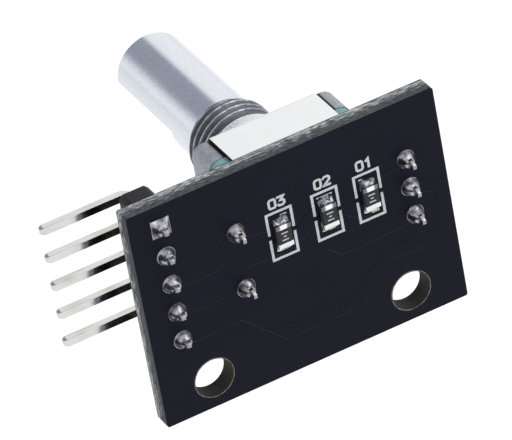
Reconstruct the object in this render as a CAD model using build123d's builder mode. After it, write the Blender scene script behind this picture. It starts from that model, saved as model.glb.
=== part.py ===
from build123d import *
import math
import os

# Rotary encoder module: a push-button incremental encoder soldered to a small breakout board.
#
# Frame: the shaft runs along Y and its knob end points to -Y. The origin is on the shaft axis, in the
# plane that seats against a panel. The board stands upright behind it, its solder side facing +Y, the
# header at +X and the two mounting holes low, at -Z. All sizes are in millimetres.
#
# Sketches are drawn as seen from the solder side: to the right is -X, up is +Z, and a positive
# extrusion goes back, away from the knob.

# ---- depths along the shaft axis, from the seat (negative is towards the knob) ----
SHAFT_TIP = -20.0
FLAT_END = -10.7
SHAFT_HEAD_END = -7.6
BUSHING_FRONT = -7.0
STRAP_THICKNESS = 0.35
CAVITY_FLOOR = 1.3
HOUSING_BACK = 2.9
BASE_FLOOR = 3.8
BASE_FLOOR_BACK = 4.6
BASE_BACK = 6.5
BOARD_FRONT = 6.6
BOARD_THICKNESS = 1.6
BOARD_BACK = BOARD_FRONT + BOARD_THICKNESS

# ---- circuit board ----
BOARD_LENGTH = 26.0
BOARD_HEIGHT = 19.0
BOARD_LEFT = -15.35
BOARD_TOP = 7.55
BOARD_CORNER = 0.2
BOARD_MID = (BOARD_LEFT + BOARD_LENGTH / 2, BOARD_TOP - BOARD_HEIGHT / 2)
MOUNT_HOLE_RADIUS = 1.6
MOUNT_HOLES = [(-10.9, -8.9), (6.1, -8.9)]
COPPER = 0.035
MASK = 0.06
LEGEND = 0.02
LAMINATE_BACK = BOARD_BACK - MASK
TRACE_WIDTH = 1.25
PAD_RADIUS = 0.9
MASK_OPENING = 0.78
LEAD_HOLE_RADIUS = 0.5
JOINT_RADIUS = 0.76
JOINT_NECK = 0.44
JOINT_HEIGHT = 0.5
JOINT_BELLY = (0.5, 0.225)

# ---- pin header ----
PITCH = 2.54
PIN_COUNT = 5
PIN_SIZE = 0.64
PIN_COLUMN = -12.75
PIN_TOP = 5.65
PIN_TIP = -20.0
PIN_RUN_DEPTH = 2.5
PIN_TAIL = 1.1
PIN_BEND = 0.35
PIN_TAPER = 0.17
PIN_TAPER_LENGTH = 0.45
INSULATOR_WIDTH = 2.5
INSULATOR_HEIGHT = 2.5
INSULATOR_NOTCH = 0.35
PIN_HEIGHTS = [PIN_TOP - PITCH * row for row in range(PIN_COUNT)]

# ---- resistors, size 0805 ----
CHIP_LENGTH = 2.0
CHIP_WIDTH = 1.25
CHIP_THICKNESS = 0.5
CHIP_CAP = 0.38
CHIP_SKIN = 0.025
CHIP_PAD_END = 1.66
CHIP_PAD_GAP = 0.55
CHIP_PAD_WIDTH = 1.32
CHIP_HEIGHT = 0.8
CHIPS = {"1": 4.08, "2": 0.5, "3": -3.38}
SOLDER_BED = 0.02
CHIP_SEAT = LAMINATE_BACK + COPPER + SOLDER_BED
FILLET_RISE = 0.42
FILLET_BELLY = (0.15, 0.26)
OUTLINE_WIDTH = 2.3
OUTLINE_HEIGHT = 4.25
OUTLINE_LINE = 0.22
OUTLINE_GAP = 0.46
LABEL_HEIGHT = 0.85
LABEL_RISE = 2.75

# ---- encoder body ----
BODY_LENGTH = 12.2
BODY_HEIGHT = 11.0
BODY_CORNER = 1.0
CASTING_EDGE = 0.2
STRAP_GAP = 0.2
CAVITY_RADIUS = 5.0
THREAD_RADIUS = 3.5
THREAD_PITCH = 0.75
THREAD_DEPTH = 0.42
THREAD_TURNS = 4
FIRST_ROOT = 0.95
GROOVE_HALF = 0.45
BORE_RADIUS = 2.53
STRAP_WIDTH = 9.1
STRAP_REACH = BODY_HEIGHT / 2 + STRAP_THICKNESS
STRAP_BEND = 0.6
STRAP_END = 6.1
BOSS_RADIUS = 3.7
RIM_CHAMFER = 0.2
STRAP_HOLE = 3.8
CLAW_WIDTH = 1.2
CLAW_PLACE = 3.3
CLAW_INSET = 4.55
BASE_LENGTH = 12.1
BASE_HEIGHT = 10.9
BASE_RECESS = 4.85
PLUNGER_HOLE = 1.25
SWITCH_WELL = (8.0, 7.4)
FOOT_RADIUS = 0.4
FOOT_INSET = 1.0
CLAW_SLOT = (1.4, 1.4)
CLAW_SLOT_CENTRE = 5.15

# ---- terminals ----
ENCODER_LEADS = 7.5
SWITCH_LEADS = -7.0
LEAD_SPACING = 2.5
LEAD_WIDTH = 0.8
LEAD_THICKNESS = 0.3
LEAD_TAIL = 1.5
LEAD_TAPER = 0.45
TIP_SHARE = 0.2
LEAD_END = BOARD_BACK + LEAD_TAIL
BRUSH_THICKNESS = 0.12
BRUSH_WIDTH = 0.5
BRUSH_ROOT = 0.1
BRUSH_SWEEP = 2.2
BRUSH_TOUCH = 3.07
BRUSH_FOOT = 0.5
BRUSH_TOE = 0.3
BRUSH_FROM = {"coded": 2.4, "common": 3.0}
STRIP_TURN = 3.6
STRIP_TURN_B = 5.0
STRIP_END = {"coded": 2.3, "common": 2.9}
SWITCH_STRIP = 0.2
SWITCH_ELBOW = -2.7
RIM_CONTACT = (-1.4, 1.6)
CENTRE_CONTACT_RADIUS = 0.5
CENTRE_LIFT = 0.3

# ---- moving pieces ----
SHAFT_RADIUS = 3.0
D_END_RADIUS = 2.985
FLAT_DISTANCE = 1.5
FLAT_ANGLE = 241.7
TIP_CHAMFER = 0.2
NECK_RADIUS = 2.5
RING_GROOVE_RADIUS = 2.0
RING_FRONT = 1.33
RING_BACK = 1.68
RING_RADIUS = 3.3
DRIVE_RADIUS = 2.15
DRIVE_FLAT = 1.55
DRIVE_END = 3.05
NOSE_RADIUS = 1.1
NOSE_END = 3.62
PLAY = 0.05
ROTOR_RADIUS = 4.7
ROTOR_FRONT = 2.0
ROTOR_BACK = 2.9
DETENTS = 20
DETENT_DEPTH = 0.15
DETENT_WIDTH = 0.55
DETENT_SLOPE = 35
RING_RECESS_RADIUS = 3.65
RING_RECESS_DEPTH = 0.3
DETENT_INNER = 3.75
DISC_THICKNESS = 0.15
DISC_RADIUS = 4.6
CODE_SLOT = (0.9, 0.6)
CODED_RING = (3.4, 4.5)
COMMON_RING = (2.6, 3.2)
PLUNGER_TOP = 3.65
PLUNGER_END = 5.08
PLUNGER_RADIUS = 1.15
PLUNGER_TIP_RADIUS = 0.8
FLANGE_RADIUS = 1.7
FLANGE_THICKNESS = 0.3
DOME_TOP = 5.1
DOME_RIM = 5.555
DOME_RADIUS = 2.3
DOME_THICKNESS = 0.1
SWITCH_TOP = 5.65
SPRING_THICKNESS = 0.18
SPRING_RING = (3.45, 4.6)
SPRING_HUMP_HALF = 1.1
SPRING_HUMP_WIDTH = 0.8
SPRING_CLEAR = 0.03
RING_GAP = 2.4

os.makedirs("parts", exist_ok=True)


def behind_seat(depth):
    """Plane square to the shaft, `depth` behind the seat, seen from the solder side."""
    return Plane(origin=(0, depth, 0), x_dir=(-1, 0, 0), z_dir=(0, 1, 0))


def below(height):
    """Plane square to Z at a height: its x runs to the right, its y back along the shaft."""
    return Plane(origin=(0, 0, height), x_dir=(-1, 0, 0), z_dir=(0, 0, -1))


def across_shaft(sideways):
    """Plane along the shaft, square to X: its x runs back along the shaft and its y runs up."""
    return Plane(origin=(-sideways, 0, 0), x_dir=(0, 1, 0), z_dir=(1, 0, 0))


def keep(builder, label):
    """Label a finished piece and write it as one STEP file."""
    builder.part.label = label
    export_step(builder.part, f"parts/{label}.step")


# ======================================================================
# Circuit board: glass-epoxy laminate with its copper, solder mask and printed legend
# ======================================================================
header_leads = [(PIN_COLUMN, height) for height in PIN_HEIGHTS]
encoder_leads = [(ENCODER_LEADS, row * LEAD_SPACING) for row in (1, 0, -1)]
switch_leads = [(SWITCH_LEADS, row * LEAD_SPACING) for row in (1, -1)]
all_leads = header_leads + encoder_leads + switch_leads
round_leads = header_leads[1:] + encoder_leads + switch_leads
chip_pad_length = CHIP_PAD_END - CHIP_PAD_GAP
chip_pad_offset = (CHIP_PAD_END + CHIP_PAD_GAP) / 2
chip_pads = [
    (place, CHIP_HEIGHT + side * chip_pad_offset)
    for place in CHIPS.values()
    for side in (1, -1)
]
# Centre lines of the wide traces, from the header and the terminals to the resistors.
chip_1, chip_2, chip_3 = CHIPS["1"], CHIPS["2"], CHIPS["3"]
upper_pads = CHIP_HEIGHT + chip_pad_offset
lower_pads = CHIP_HEIGHT - chip_pad_offset
TRACES = [
    [header_leads[2], (-9.1, PIN_HEIGHTS[2]), (SWITCH_LEADS, LEAD_SPACING), (chip_3, upper_pads)],
    [header_leads[3], (-9.1, PIN_HEIGHTS[3]), (-7.3, -0.25), (chip_3, lower_pads)],
    [header_leads[4], (-7.6, PIN_HEIGHTS[4]), (-4.3, -7.8), (1.8, -7.8), (4.6, -5.0), (9.2, -5.0)],
    [(9.2, -5.0), (9.85, -4.3), (9.85, -0.9), (ENCODER_LEADS, 0)],
    [(chip_3, lower_pads), (-2.6, -0.3), (chip_2, upper_pads)],
    [(chip_2, upper_pads), (3.2, -0.3), (chip_1, lower_pads)],
    [(chip_2, lower_pads), (0.5, -1.9), (1.3, -2.7), (ENCODER_LEADS, -LEAD_SPACING)],
    [(chip_1, upper_pads), (5.0, 2.5), (ENCODER_LEADS, LEAD_SPACING)],
]

with BuildPart() as circuit_board:
    with BuildSketch(behind_seat(BOARD_FRONT + MASK)):
        with Locations(BOARD_MID):
            RectangleRounded(BOARD_LENGTH, BOARD_HEIGHT, BOARD_CORNER)
        with Locations(*MOUNT_HOLES):
            Circle(MOUNT_HOLE_RADIUS, mode=Mode.SUBTRACT)
        with Locations(*all_leads):
            Circle(LEAD_HOLE_RADIUS, mode=Mode.SUBTRACT)
    extrude(amount=BOARD_THICKNESS - 2 * MASK)
keep(circuit_board, "circuit_board")

# Etched copper: wide traces and lands on the solder side, and a ring land round each hole in front.
with BuildPart() as copper_layers:
    with BuildSketch(behind_seat(LAMINATE_BACK)):
        for route in TRACES:
            with BuildLine():
                Polyline(*route)
            trace(line_width=TRACE_WIDTH)
        with Locations(*round_leads):
            Circle(PAD_RADIUS)
        with Locations(header_leads[0]):
            Rectangle(2 * PAD_RADIUS, 2 * PAD_RADIUS)
        with Locations(*chip_pads):
            Rectangle(CHIP_PAD_WIDTH, chip_pad_length)
        with Locations(*all_leads):
            Circle(LEAD_HOLE_RADIUS, mode=Mode.SUBTRACT)
    extrude(amount=COPPER)
    with BuildSketch(behind_seat(BOARD_FRONT + MASK)):
        with Locations(*all_leads):
            Circle(PAD_RADIUS)
            Circle(LEAD_HOLE_RADIUS, mode=Mode.SUBTRACT)
    extrude(amount=-COPPER)
keep(copper_layers, "copper_layers")

# Solder mask: a lacquer film on each face, open over the lands and level over the traces.
with BuildPart() as solder_mask_back:
    with BuildSketch(behind_seat(LAMINATE_BACK)):
        with Locations(BOARD_MID):
            RectangleRounded(BOARD_LENGTH, BOARD_HEIGHT, BOARD_CORNER)
        with Locations(*MOUNT_HOLES):
            Circle(MOUNT_HOLE_RADIUS, mode=Mode.SUBTRACT)
        with Locations(*round_leads):
            Circle(MASK_OPENING, mode=Mode.SUBTRACT)
        with Locations(header_leads[0]):
            Rectangle(2 * MASK_OPENING, 2 * MASK_OPENING, mode=Mode.SUBTRACT)
        with Locations(*chip_pads):
            Rectangle(CHIP_PAD_WIDTH, chip_pad_length, mode=Mode.SUBTRACT)
    extrude(amount=MASK)
    add(copper_layers.part, mode=Mode.SUBTRACT)
keep(solder_mask_back, "solder_mask_back")

with BuildPart() as solder_mask_front:
    with BuildSketch(behind_seat(BOARD_FRONT)):
        with Locations(BOARD_MID):
            RectangleRounded(BOARD_LENGTH, BOARD_HEIGHT, BOARD_CORNER)
        with Locations(*MOUNT_HOLES):
            Circle(MOUNT_HOLE_RADIUS, mode=Mode.SUBTRACT)
        with Locations(*all_leads):
            Circle(MASK_OPENING, mode=Mode.SUBTRACT)
    extrude(amount=MASK)
    add(copper_layers.part, mode=Mode.SUBTRACT)
keep(solder_mask_front, "solder_mask_front")

# Printed legend: a broken frame round each resistor, and above it as many bars as its number.
with BuildPart() as printed_legend:
    with BuildSketch(behind_seat(BOARD_BACK)):
        for number, place in CHIPS.items():
            with Locations((place, CHIP_HEIGHT)):
                Rectangle(OUTLINE_WIDTH, OUTLINE_HEIGHT)
                Rectangle(
                    OUTLINE_WIDTH - 2 * OUTLINE_LINE,
                    OUTLINE_HEIGHT - 2 * OUTLINE_LINE,
                    mode=Mode.SUBTRACT,
                )
                Rectangle(OUTLINE_WIDTH, OUTLINE_GAP, mode=Mode.SUBTRACT)
            with Locations((place, CHIP_HEIGHT + LABEL_RISE)):
                with GridLocations(2 * OUTLINE_LINE, 0, int(number), 1):
                    Rectangle(OUTLINE_LINE, LABEL_HEIGHT)
    extrude(amount=LEGEND)
keep(printed_legend, "printed_legend")

# ======================================================================
# Pin header: five square pins pressed through a moulded bar and bent over it
# ======================================================================
bar_top = PIN_TOP + PITCH / 2
bar_middle = bar_top - PITCH * PIN_COUNT / 2
tail_end = BOARD_BACK + PIN_TAIL

for row, height in enumerate(PIN_HEIGHTS, start=1):
    with BuildPart() as header_pin:
        with BuildSketch(below(height)):
            with BuildLine():
                FilletPolyline(
                    (PIN_COLUMN, tail_end),
                    (PIN_COLUMN, PIN_RUN_DEPTH),
                    (PIN_TIP, PIN_RUN_DEPTH),
                    radius=PIN_BEND + PIN_SIZE / 2,
                )
            trace(line_width=PIN_SIZE)
        extrude(amount=PIN_SIZE / 2, both=True)
        for end in (header_pin.faces().sort_by(Axis.X)[-1], header_pin.faces().sort_by(Axis.Y)[-1]):
            chamfer(end.edges(), length=PIN_TAPER, length2=PIN_TAPER_LENGTH, reference=end)
    keep(header_pin, f"header_pin_{row}")

with BuildPart() as header_insulator:
    with BuildSketch(behind_seat(BOARD_FRONT - INSULATOR_HEIGHT)):
        with Locations((PIN_COLUMN, bar_middle)):
            Rectangle(INSULATOR_WIDTH, PITCH * PIN_COUNT)
            with GridLocations(INSULATOR_WIDTH, PITCH, 2, PIN_COUNT + 1):
                Rectangle(
                    math.sqrt(2) * INSULATOR_NOTCH,
                    math.sqrt(2) * INSULATOR_NOTCH,
                    rotation=45,
                    mode=Mode.SUBTRACT,
                )
        with Locations(*header_leads):
            Rectangle(PIN_SIZE, PIN_SIZE, mode=Mode.SUBTRACT)
    extrude(amount=INSULATOR_HEIGHT)
keep(header_insulator, "header_insulator")

# ======================================================================
# Solder: a fillet round each lead, filling its plated hole
# ======================================================================
joint_root = LAMINATE_BACK + COPPER


def solder_joints(leads, lead_width, lead_height):
    """Solder fillets at these places, each with a slot for the lead that it holds."""
    with BuildPart() as joints:
        for right, up in leads:
            with BuildSketch(below(up)):
                with BuildLine():
                    Polyline(
                        (right, BOARD_FRONT),
                        (right + LEAD_HOLE_RADIUS, BOARD_FRONT),
                        (right + LEAD_HOLE_RADIUS, joint_root),
                        (right + JOINT_RADIUS, joint_root),
                    )
                    ThreePointArc(
                        (right + JOINT_RADIUS, joint_root),
                        (right + JOINT_BELLY[0], joint_root + JOINT_BELLY[1]),
                        (right + JOINT_NECK, joint_root + JOINT_HEIGHT),
                    )
                    Polyline(
                        (right + JOINT_NECK, joint_root + JOINT_HEIGHT),
                        (right, joint_root + JOINT_HEIGHT),
                        (right, BOARD_FRONT),
                    )
                make_face()
            revolve(axis=Axis((-right, 0, up), (0, 1, 0)))
        with BuildSketch(behind_seat(BOARD_FRONT)):
            with Locations(*leads):
                Rectangle(lead_width, lead_height)
        extrude(amount=BOARD_THICKNESS + JOINT_HEIGHT, mode=Mode.SUBTRACT)
    return joints


keep(solder_joints(header_leads, PIN_SIZE, PIN_SIZE), "header_solder")
keep(
    solder_joints(encoder_leads + switch_leads, LEAD_THICKNESS, LEAD_WIDTH),
    "encoder_solder",
)

# ======================================================================
# Chip resistors: glazed ceramic blocks with metal end caps, soldered to their lands
# ======================================================================
core_height = CHIP_THICKNESS - 2 * CHIP_SKIN
core_mid = CHIP_SEAT + CHIP_SKIN + core_height / 2
glaze_length = CHIP_LENGTH - 2 * CHIP_CAP
cap_middle = (CHIP_LENGTH - CHIP_CAP) / 2

for number, place in CHIPS.items():
    with BuildPart() as body:
        with Locations((-place, core_mid, CHIP_HEIGHT)):
            Box(CHIP_WIDTH - 2 * CHIP_SKIN, core_height, CHIP_LENGTH - 2 * CHIP_SKIN)
        with Locations((-place, core_mid + CHIP_SKIN, CHIP_HEIGHT)):
            Box(CHIP_WIDTH - 2 * CHIP_SKIN, core_height, glaze_length)
    keep(body, f"resistor_{number}_body")

    with BuildPart() as caps:
        with Locations(
            (-place, CHIP_SEAT + CHIP_THICKNESS / 2, CHIP_HEIGHT + cap_middle),
            (-place, CHIP_SEAT + CHIP_THICKNESS / 2, CHIP_HEIGHT - cap_middle),
        ):
            Box(CHIP_WIDTH, CHIP_THICKNESS, CHIP_CAP)
        add(body.part, mode=Mode.SUBTRACT)
    keep(caps, f"resistor_{number}_caps")

with BuildPart() as resistor_solder:
    for place in CHIPS.values():
        for side in (1, -1):
            with BuildSketch(across_shaft(place)):
                inner = CHIP_LENGTH / 2 - CHIP_CAP
                outer = CHIP_LENGTH / 2
                with BuildLine():
                    Polyline(
                        (CHIP_SEAT + FILLET_RISE, CHIP_HEIGHT + side * outer),
                        (CHIP_SEAT, CHIP_HEIGHT + side * outer),
                        (CHIP_SEAT, CHIP_HEIGHT + side * inner),
                        (joint_root, CHIP_HEIGHT + side * inner),
                        (joint_root, CHIP_HEIGHT + side * CHIP_PAD_END),
                    )
                    ThreePointArc(
                        (joint_root, CHIP_HEIGHT + side * CHIP_PAD_END),
                        (CHIP_SEAT + FILLET_BELLY[0], CHIP_HEIGHT + side * (outer + FILLET_BELLY[1])),
                        (CHIP_SEAT + FILLET_RISE, CHIP_HEIGHT + side * outer),
                    )
                make_face()
            extrude(amount=CHIP_WIDTH / 2, both=True)
keep(resistor_solder, "resistor_solder")

# ======================================================================
# Encoder body: die-cast housing with its threaded bushing, held to a moulded base by a steel strap
# ======================================================================
strap_line = STRAP_REACH - STRAP_THICKNESS / 2
with BuildPart() as mounting_strap:
    with BuildSketch(across_shaft(0)):
        with BuildLine():
            FilletPolyline(
                (STRAP_END, strap_line),
                (STRAP_THICKNESS / 2, strap_line),
                (STRAP_THICKNESS / 2, -strap_line),
                (STRAP_END, -strap_line),
                radius=STRAP_BEND - STRAP_THICKNESS / 2,
            )
        trace(line_width=STRAP_THICKNESS)
    extrude(amount=STRAP_WIDTH / 2, both=True)
    with BuildSketch(behind_seat(0)):
        Circle(STRAP_HOLE)
    extrude(amount=STRAP_THICKNESS, mode=Mode.SUBTRACT)
    claw_reach = (STRAP_REACH + CLAW_INSET) / 2
    with Locations(*[(x, 0, z) for x in (CLAW_PLACE, -CLAW_PLACE) for z in (strap_line, -strap_line)]):
        with Locations((0, (STRAP_END + BASE_BACK) / 2, 0)):
            Box(CLAW_WIDTH, BASE_BACK - STRAP_END, STRAP_THICKNESS)
    with Locations(*[(x, 0, z) for x in (CLAW_PLACE, -CLAW_PLACE) for z in (claw_reach, -claw_reach)]):
        with Locations((0, BASE_BACK - STRAP_THICKNESS / 2, 0)):
            Box(CLAW_WIDTH, STRAP_THICKNESS, STRAP_REACH - CLAW_INSET)
keep(mounting_strap, "mounting_strap")

with BuildPart() as bushing_housing:
    with BuildSketch(behind_seat(0)):
        RectangleRounded(BODY_LENGTH, BODY_HEIGHT, BODY_CORNER)
    extrude(amount=HOUSING_BACK)
    front_edges = bushing_housing.faces().sort_by(Axis.Y)[0].edges()
    fillet(front_edges, radius=CASTING_EDGE)
    with BuildSketch(behind_seat(0)):
        Rectangle(STRAP_WIDTH + STRAP_GAP, 2 * BODY_HEIGHT)
    extrude(amount=STRAP_THICKNESS, mode=Mode.SUBTRACT)
    with BuildSketch(behind_seat(BUSHING_FRONT)):
        Circle(THREAD_RADIUS)
    extrude(amount=-BUSHING_FRONT)
    chamfer(bushing_housing.faces().sort_by(Axis.Y)[0].edges(), length=RIM_CHAMFER)
    with BuildSketch(behind_seat(0)):
        Circle(BOSS_RADIUS)
    extrude(amount=STRAP_THICKNESS)
    with BuildSketch(behind_seat(BUSHING_FRONT)):
        Circle(BORE_RADIUS)
    extrude(amount=CAVITY_FLOOR - BUSHING_FRONT, mode=Mode.SUBTRACT)
    with BuildSketch(behind_seat(CAVITY_FLOOR)):
        Circle(CAVITY_RADIUS)
    extrude(amount=HOUSING_BACK - CAVITY_FLOOR, mode=Mode.SUBTRACT)
    with BuildSketch(across_shaft(0)):
        for turn in range(THREAD_TURNS):
            root = BUSHING_FRONT + (turn + FIRST_ROOT) * THREAD_PITCH
            half = GROOVE_HALF * THREAD_PITCH
            with BuildLine():
                Polyline(
                    (root - half, THREAD_RADIUS),
                    (root, THREAD_RADIUS - THREAD_DEPTH),
                    (root + half, THREAD_RADIUS),
                    (root - half, THREAD_RADIUS),
                )
            make_face()
    revolve(axis=Axis.Y, mode=Mode.SUBTRACT)
    add(mounting_strap.part, mode=Mode.SUBTRACT)
keep(bushing_housing, "bushing_housing")

# ======================================================================
# Terminals: stamped strips moulded into the base, three with a brush arm for the code disc
# ======================================================================

def stamped_terminal(column, row, route, strip_front, strip_thickness, brush_from=None):
    """A leg through the board, the strip it hangs from and, if asked for, a brush arm at its end."""
    with BuildPart() as terminal:
        with BuildSketch(across_shaft(column)):
            with BuildLine():
                Polyline(
                    (strip_front, row - LEAD_WIDTH / 2),
                    (LEAD_END - LEAD_TAPER, row - LEAD_WIDTH / 2),
                    (LEAD_END, row - LEAD_WIDTH * TIP_SHARE),
                    (LEAD_END, row + LEAD_WIDTH * TIP_SHARE),
                    (LEAD_END - LEAD_TAPER, row + LEAD_WIDTH / 2),
                    (strip_front, row + LEAD_WIDTH / 2),
                    (strip_front, row - LEAD_WIDTH / 2),
                )
            make_face()
        extrude(amount=LEAD_THICKNESS / 2, both=True)
        with BuildSketch(behind_seat(strip_front)):
            with BuildLine():
                Polyline(*route)
            trace(line_width=LEAD_WIDTH)
        extrude(amount=strip_thickness)
        if brush_from is not None:
            across, up = brush_from
            half = BRUSH_THICKNESS / 2
            with BuildSketch(below(up)):
                with BuildLine():
                    Polyline(
                        (across + BRUSH_ROOT, BASE_FLOOR + half),
                        (across - BRUSH_SWEEP, BRUSH_TOUCH + half),
                        (across - BRUSH_SWEEP - BRUSH_FOOT, BRUSH_TOUCH + half),
                        (across - BRUSH_SWEEP - BRUSH_FOOT - BRUSH_TOE, BRUSH_TOUCH + 3 * half),
                    )
                trace(line_width=BRUSH_THICKNESS)
            extrude(amount=BRUSH_WIDTH / 2, both=True)
    return terminal


coded_line = (CODED_RING[0] + CODED_RING[1]) / 2
common_line = (COMMON_RING[0] + COMMON_RING[1]) / 2
terminal_a = stamped_terminal(
    ENCODER_LEADS,
    LEAD_SPACING,
    [
        (ENCODER_LEADS, LEAD_SPACING),
        (STRIP_TURN, LEAD_SPACING),
        (STRIP_TURN, coded_line),
        (STRIP_END["coded"], coded_line),
    ],
    BASE_FLOOR,
    LEAD_THICKNESS,
    (BRUSH_FROM["coded"], coded_line),
)
terminal_common = stamped_terminal(
    ENCODER_LEADS,
    0,
    [
        (ENCODER_LEADS, 0),
        (STRIP_TURN, 0),
        (STRIP_TURN, -common_line),
        (STRIP_END["common"], -common_line),
    ],
    BASE_FLOOR,
    LEAD_THICKNESS,
    (BRUSH_FROM["common"], -common_line),
)
terminal_b = stamped_terminal(
    ENCODER_LEADS,
    -LEAD_SPACING,
    [
        (ENCODER_LEADS, -LEAD_SPACING),
        (STRIP_TURN_B, -LEAD_SPACING),
        (STRIP_TURN_B, -coded_line),
        (STRIP_END["coded"], -coded_line),
    ],
    BASE_FLOOR,
    LEAD_THICKNESS,
    (BRUSH_FROM["coded"], -coded_line),
)
keep(terminal_a, "terminal_a")
keep(terminal_common, "terminal_common")
keep(terminal_b, "terminal_b")

centre_strip_front = SWITCH_TOP + CENTRE_LIFT
switch_rim_terminal = stamped_terminal(
    SWITCH_LEADS,
    LEAD_SPACING,
    [(SWITCH_LEADS, LEAD_SPACING), (SWITCH_ELBOW, LEAD_SPACING), RIM_CONTACT],
    SWITCH_TOP,
    SWITCH_STRIP,
)
switch_centre_terminal = stamped_terminal(
    SWITCH_LEADS,
    -LEAD_SPACING,
    [(SWITCH_LEADS, -LEAD_SPACING), (SWITCH_ELBOW, -LEAD_SPACING), (0, 0)],
    centre_strip_front,
    SWITCH_STRIP,
)
with BuildPart() as switch_centre_contact:
    add(switch_centre_terminal.part)
    with BuildSketch(behind_seat(SWITCH_TOP)):
        Circle(CENTRE_CONTACT_RADIUS)
    extrude(amount=centre_strip_front - SWITCH_TOP + SWITCH_STRIP)
keep(switch_rim_terminal, "switch_rim_terminal")
keep(switch_centre_contact, "switch_centre_terminal")

# ======================================================================
# Moulded base, and the push switch in its back
# ======================================================================
with BuildPart() as terminal_base:
    with BuildSketch(behind_seat(HOUSING_BACK)):
        RectangleRounded(BASE_LENGTH, BASE_HEIGHT, BODY_CORNER)
    extrude(amount=BASE_BACK - HOUSING_BACK)
    with BuildSketch(behind_seat(BASE_BACK)):
        with GridLocations(BASE_LENGTH - 2 * FOOT_INSET, BASE_HEIGHT - 2 * FOOT_INSET, 2, 2):
            Circle(FOOT_RADIUS)
    extrude(amount=BOARD_FRONT - BASE_BACK)
    with BuildSketch(behind_seat(HOUSING_BACK)):
        Circle(BASE_RECESS)
    extrude(amount=BASE_FLOOR - HOUSING_BACK, mode=Mode.SUBTRACT)
    with BuildSketch(behind_seat(BASE_FLOOR)):
        Circle(PLUNGER_HOLE)
    extrude(amount=BASE_FLOOR_BACK - BASE_FLOOR, mode=Mode.SUBTRACT)
    with BuildSketch(behind_seat(BASE_FLOOR_BACK)):
        Rectangle(*SWITCH_WELL)
    extrude(amount=BASE_BACK - BASE_FLOOR_BACK, mode=Mode.SUBTRACT)
    with BuildSketch(behind_seat(STRAP_END)):
        with GridLocations(2 * CLAW_PLACE, 2 * CLAW_SLOT_CENTRE, 2, 2):
            Rectangle(*CLAW_SLOT)
    extrude(amount=BASE_BACK - STRAP_END, mode=Mode.SUBTRACT)
    for terminal in (
        terminal_a,
        terminal_common,
        terminal_b,
        switch_rim_terminal,
        switch_centre_contact,
    ):
        add(terminal.part, mode=Mode.SUBTRACT)
keep(terminal_base, "terminal_base")

with BuildPart() as switch_base:
    with BuildSketch(behind_seat(SWITCH_TOP)):
        Rectangle(SWITCH_WELL[0] - 2 * PLAY, SWITCH_WELL[1] - 2 * PLAY)
    extrude(amount=BASE_BACK - PLAY - SWITCH_TOP)
    add(switch_rim_terminal.part, mode=Mode.SUBTRACT)
    add(switch_centre_contact.part, mode=Mode.SUBTRACT)
keep(switch_base, "switch_base")

# Snap dome: a shallow spring-steel cap whose rim stands on the switch base.
dome_rise = DOME_RIM - DOME_TOP
dome_sphere = (DOME_RADIUS**2 + dome_rise**2) / (2 * dome_rise)
with BuildPart() as switch_dome:
    with BuildSketch(across_shaft(0)):
        with Locations((DOME_TOP + dome_sphere, 0)):
            Circle(dome_sphere)
            Circle(dome_sphere - DOME_THICKNESS, mode=Mode.SUBTRACT)
        with Locations((DOME_TOP, 0)):
            Rectangle(
                SWITCH_TOP - DOME_TOP,
                DOME_RADIUS,
                align=(Align.MIN, Align.MIN),
                mode=Mode.INTERSECT,
            )
    revolve(axis=Axis.Y)
keep(switch_dome, "switch_dome")

with BuildPart() as switch_plunger:
    with BuildSketch(behind_seat(PLUNGER_TOP)):
        Circle(PLUNGER_RADIUS)
    extrude(amount=BASE_FLOOR_BACK + PLAY - PLUNGER_TOP)
    with BuildSketch(behind_seat(BASE_FLOOR_BACK + PLAY)):
        Circle(FLANGE_RADIUS)
    extrude(amount=FLANGE_THICKNESS)
    with BuildSketch(behind_seat(BASE_FLOOR_BACK + PLAY)):
        Circle(PLUNGER_TIP_RADIUS)
    extrude(amount=PLUNGER_END - BASE_FLOOR_BACK - PLAY)
keep(switch_plunger, "switch_plunger")

# ======================================================================
# Turning parts: rotor with its code disc, and the click spring that indexes it
# ======================================================================
with BuildPart() as rotor:
    with BuildSketch(behind_seat(ROTOR_FRONT)):
        Circle(ROTOR_RADIUS)
    extrude(amount=ROTOR_BACK - ROTOR_FRONT)
    with BuildSketch(behind_seat(ROTOR_FRONT)):
        Circle(RING_RECESS_RADIUS)
    extrude(amount=RING_RECESS_DEPTH, mode=Mode.SUBTRACT)
    with BuildSketch(behind_seat(ROTOR_FRONT)):
        Circle(DRIVE_RADIUS + PLAY)
        Rectangle(2 * (DRIVE_FLAT + PLAY), 3 * DRIVE_RADIUS, mode=Mode.INTERSECT)
    extrude(amount=ROTOR_BACK - ROTOR_FRONT, mode=Mode.SUBTRACT)
    with BuildSketch(behind_seat(ROTOR_FRONT)):
        with PolarLocations((DETENT_INNER + ROTOR_RADIUS) / 2, DETENTS):
            Rectangle(ROTOR_RADIUS - DETENT_INNER, DETENT_WIDTH)
    extrude(amount=DETENT_DEPTH, taper=DETENT_SLOPE, mode=Mode.SUBTRACT)
keep(rotor, "rotor")

with BuildPart() as code_disc:
    with BuildSketch(behind_seat(ROTOR_BACK)):
        Circle(DISC_RADIUS)
        Circle(DRIVE_RADIUS + 2 * PLAY, mode=Mode.SUBTRACT)
        with PolarLocations(coded_line, DETENTS):
            Rectangle(*CODE_SLOT, mode=Mode.SUBTRACT)
    extrude(amount=DISC_THICKNESS)
keep(code_disc, "code_disc")

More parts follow.
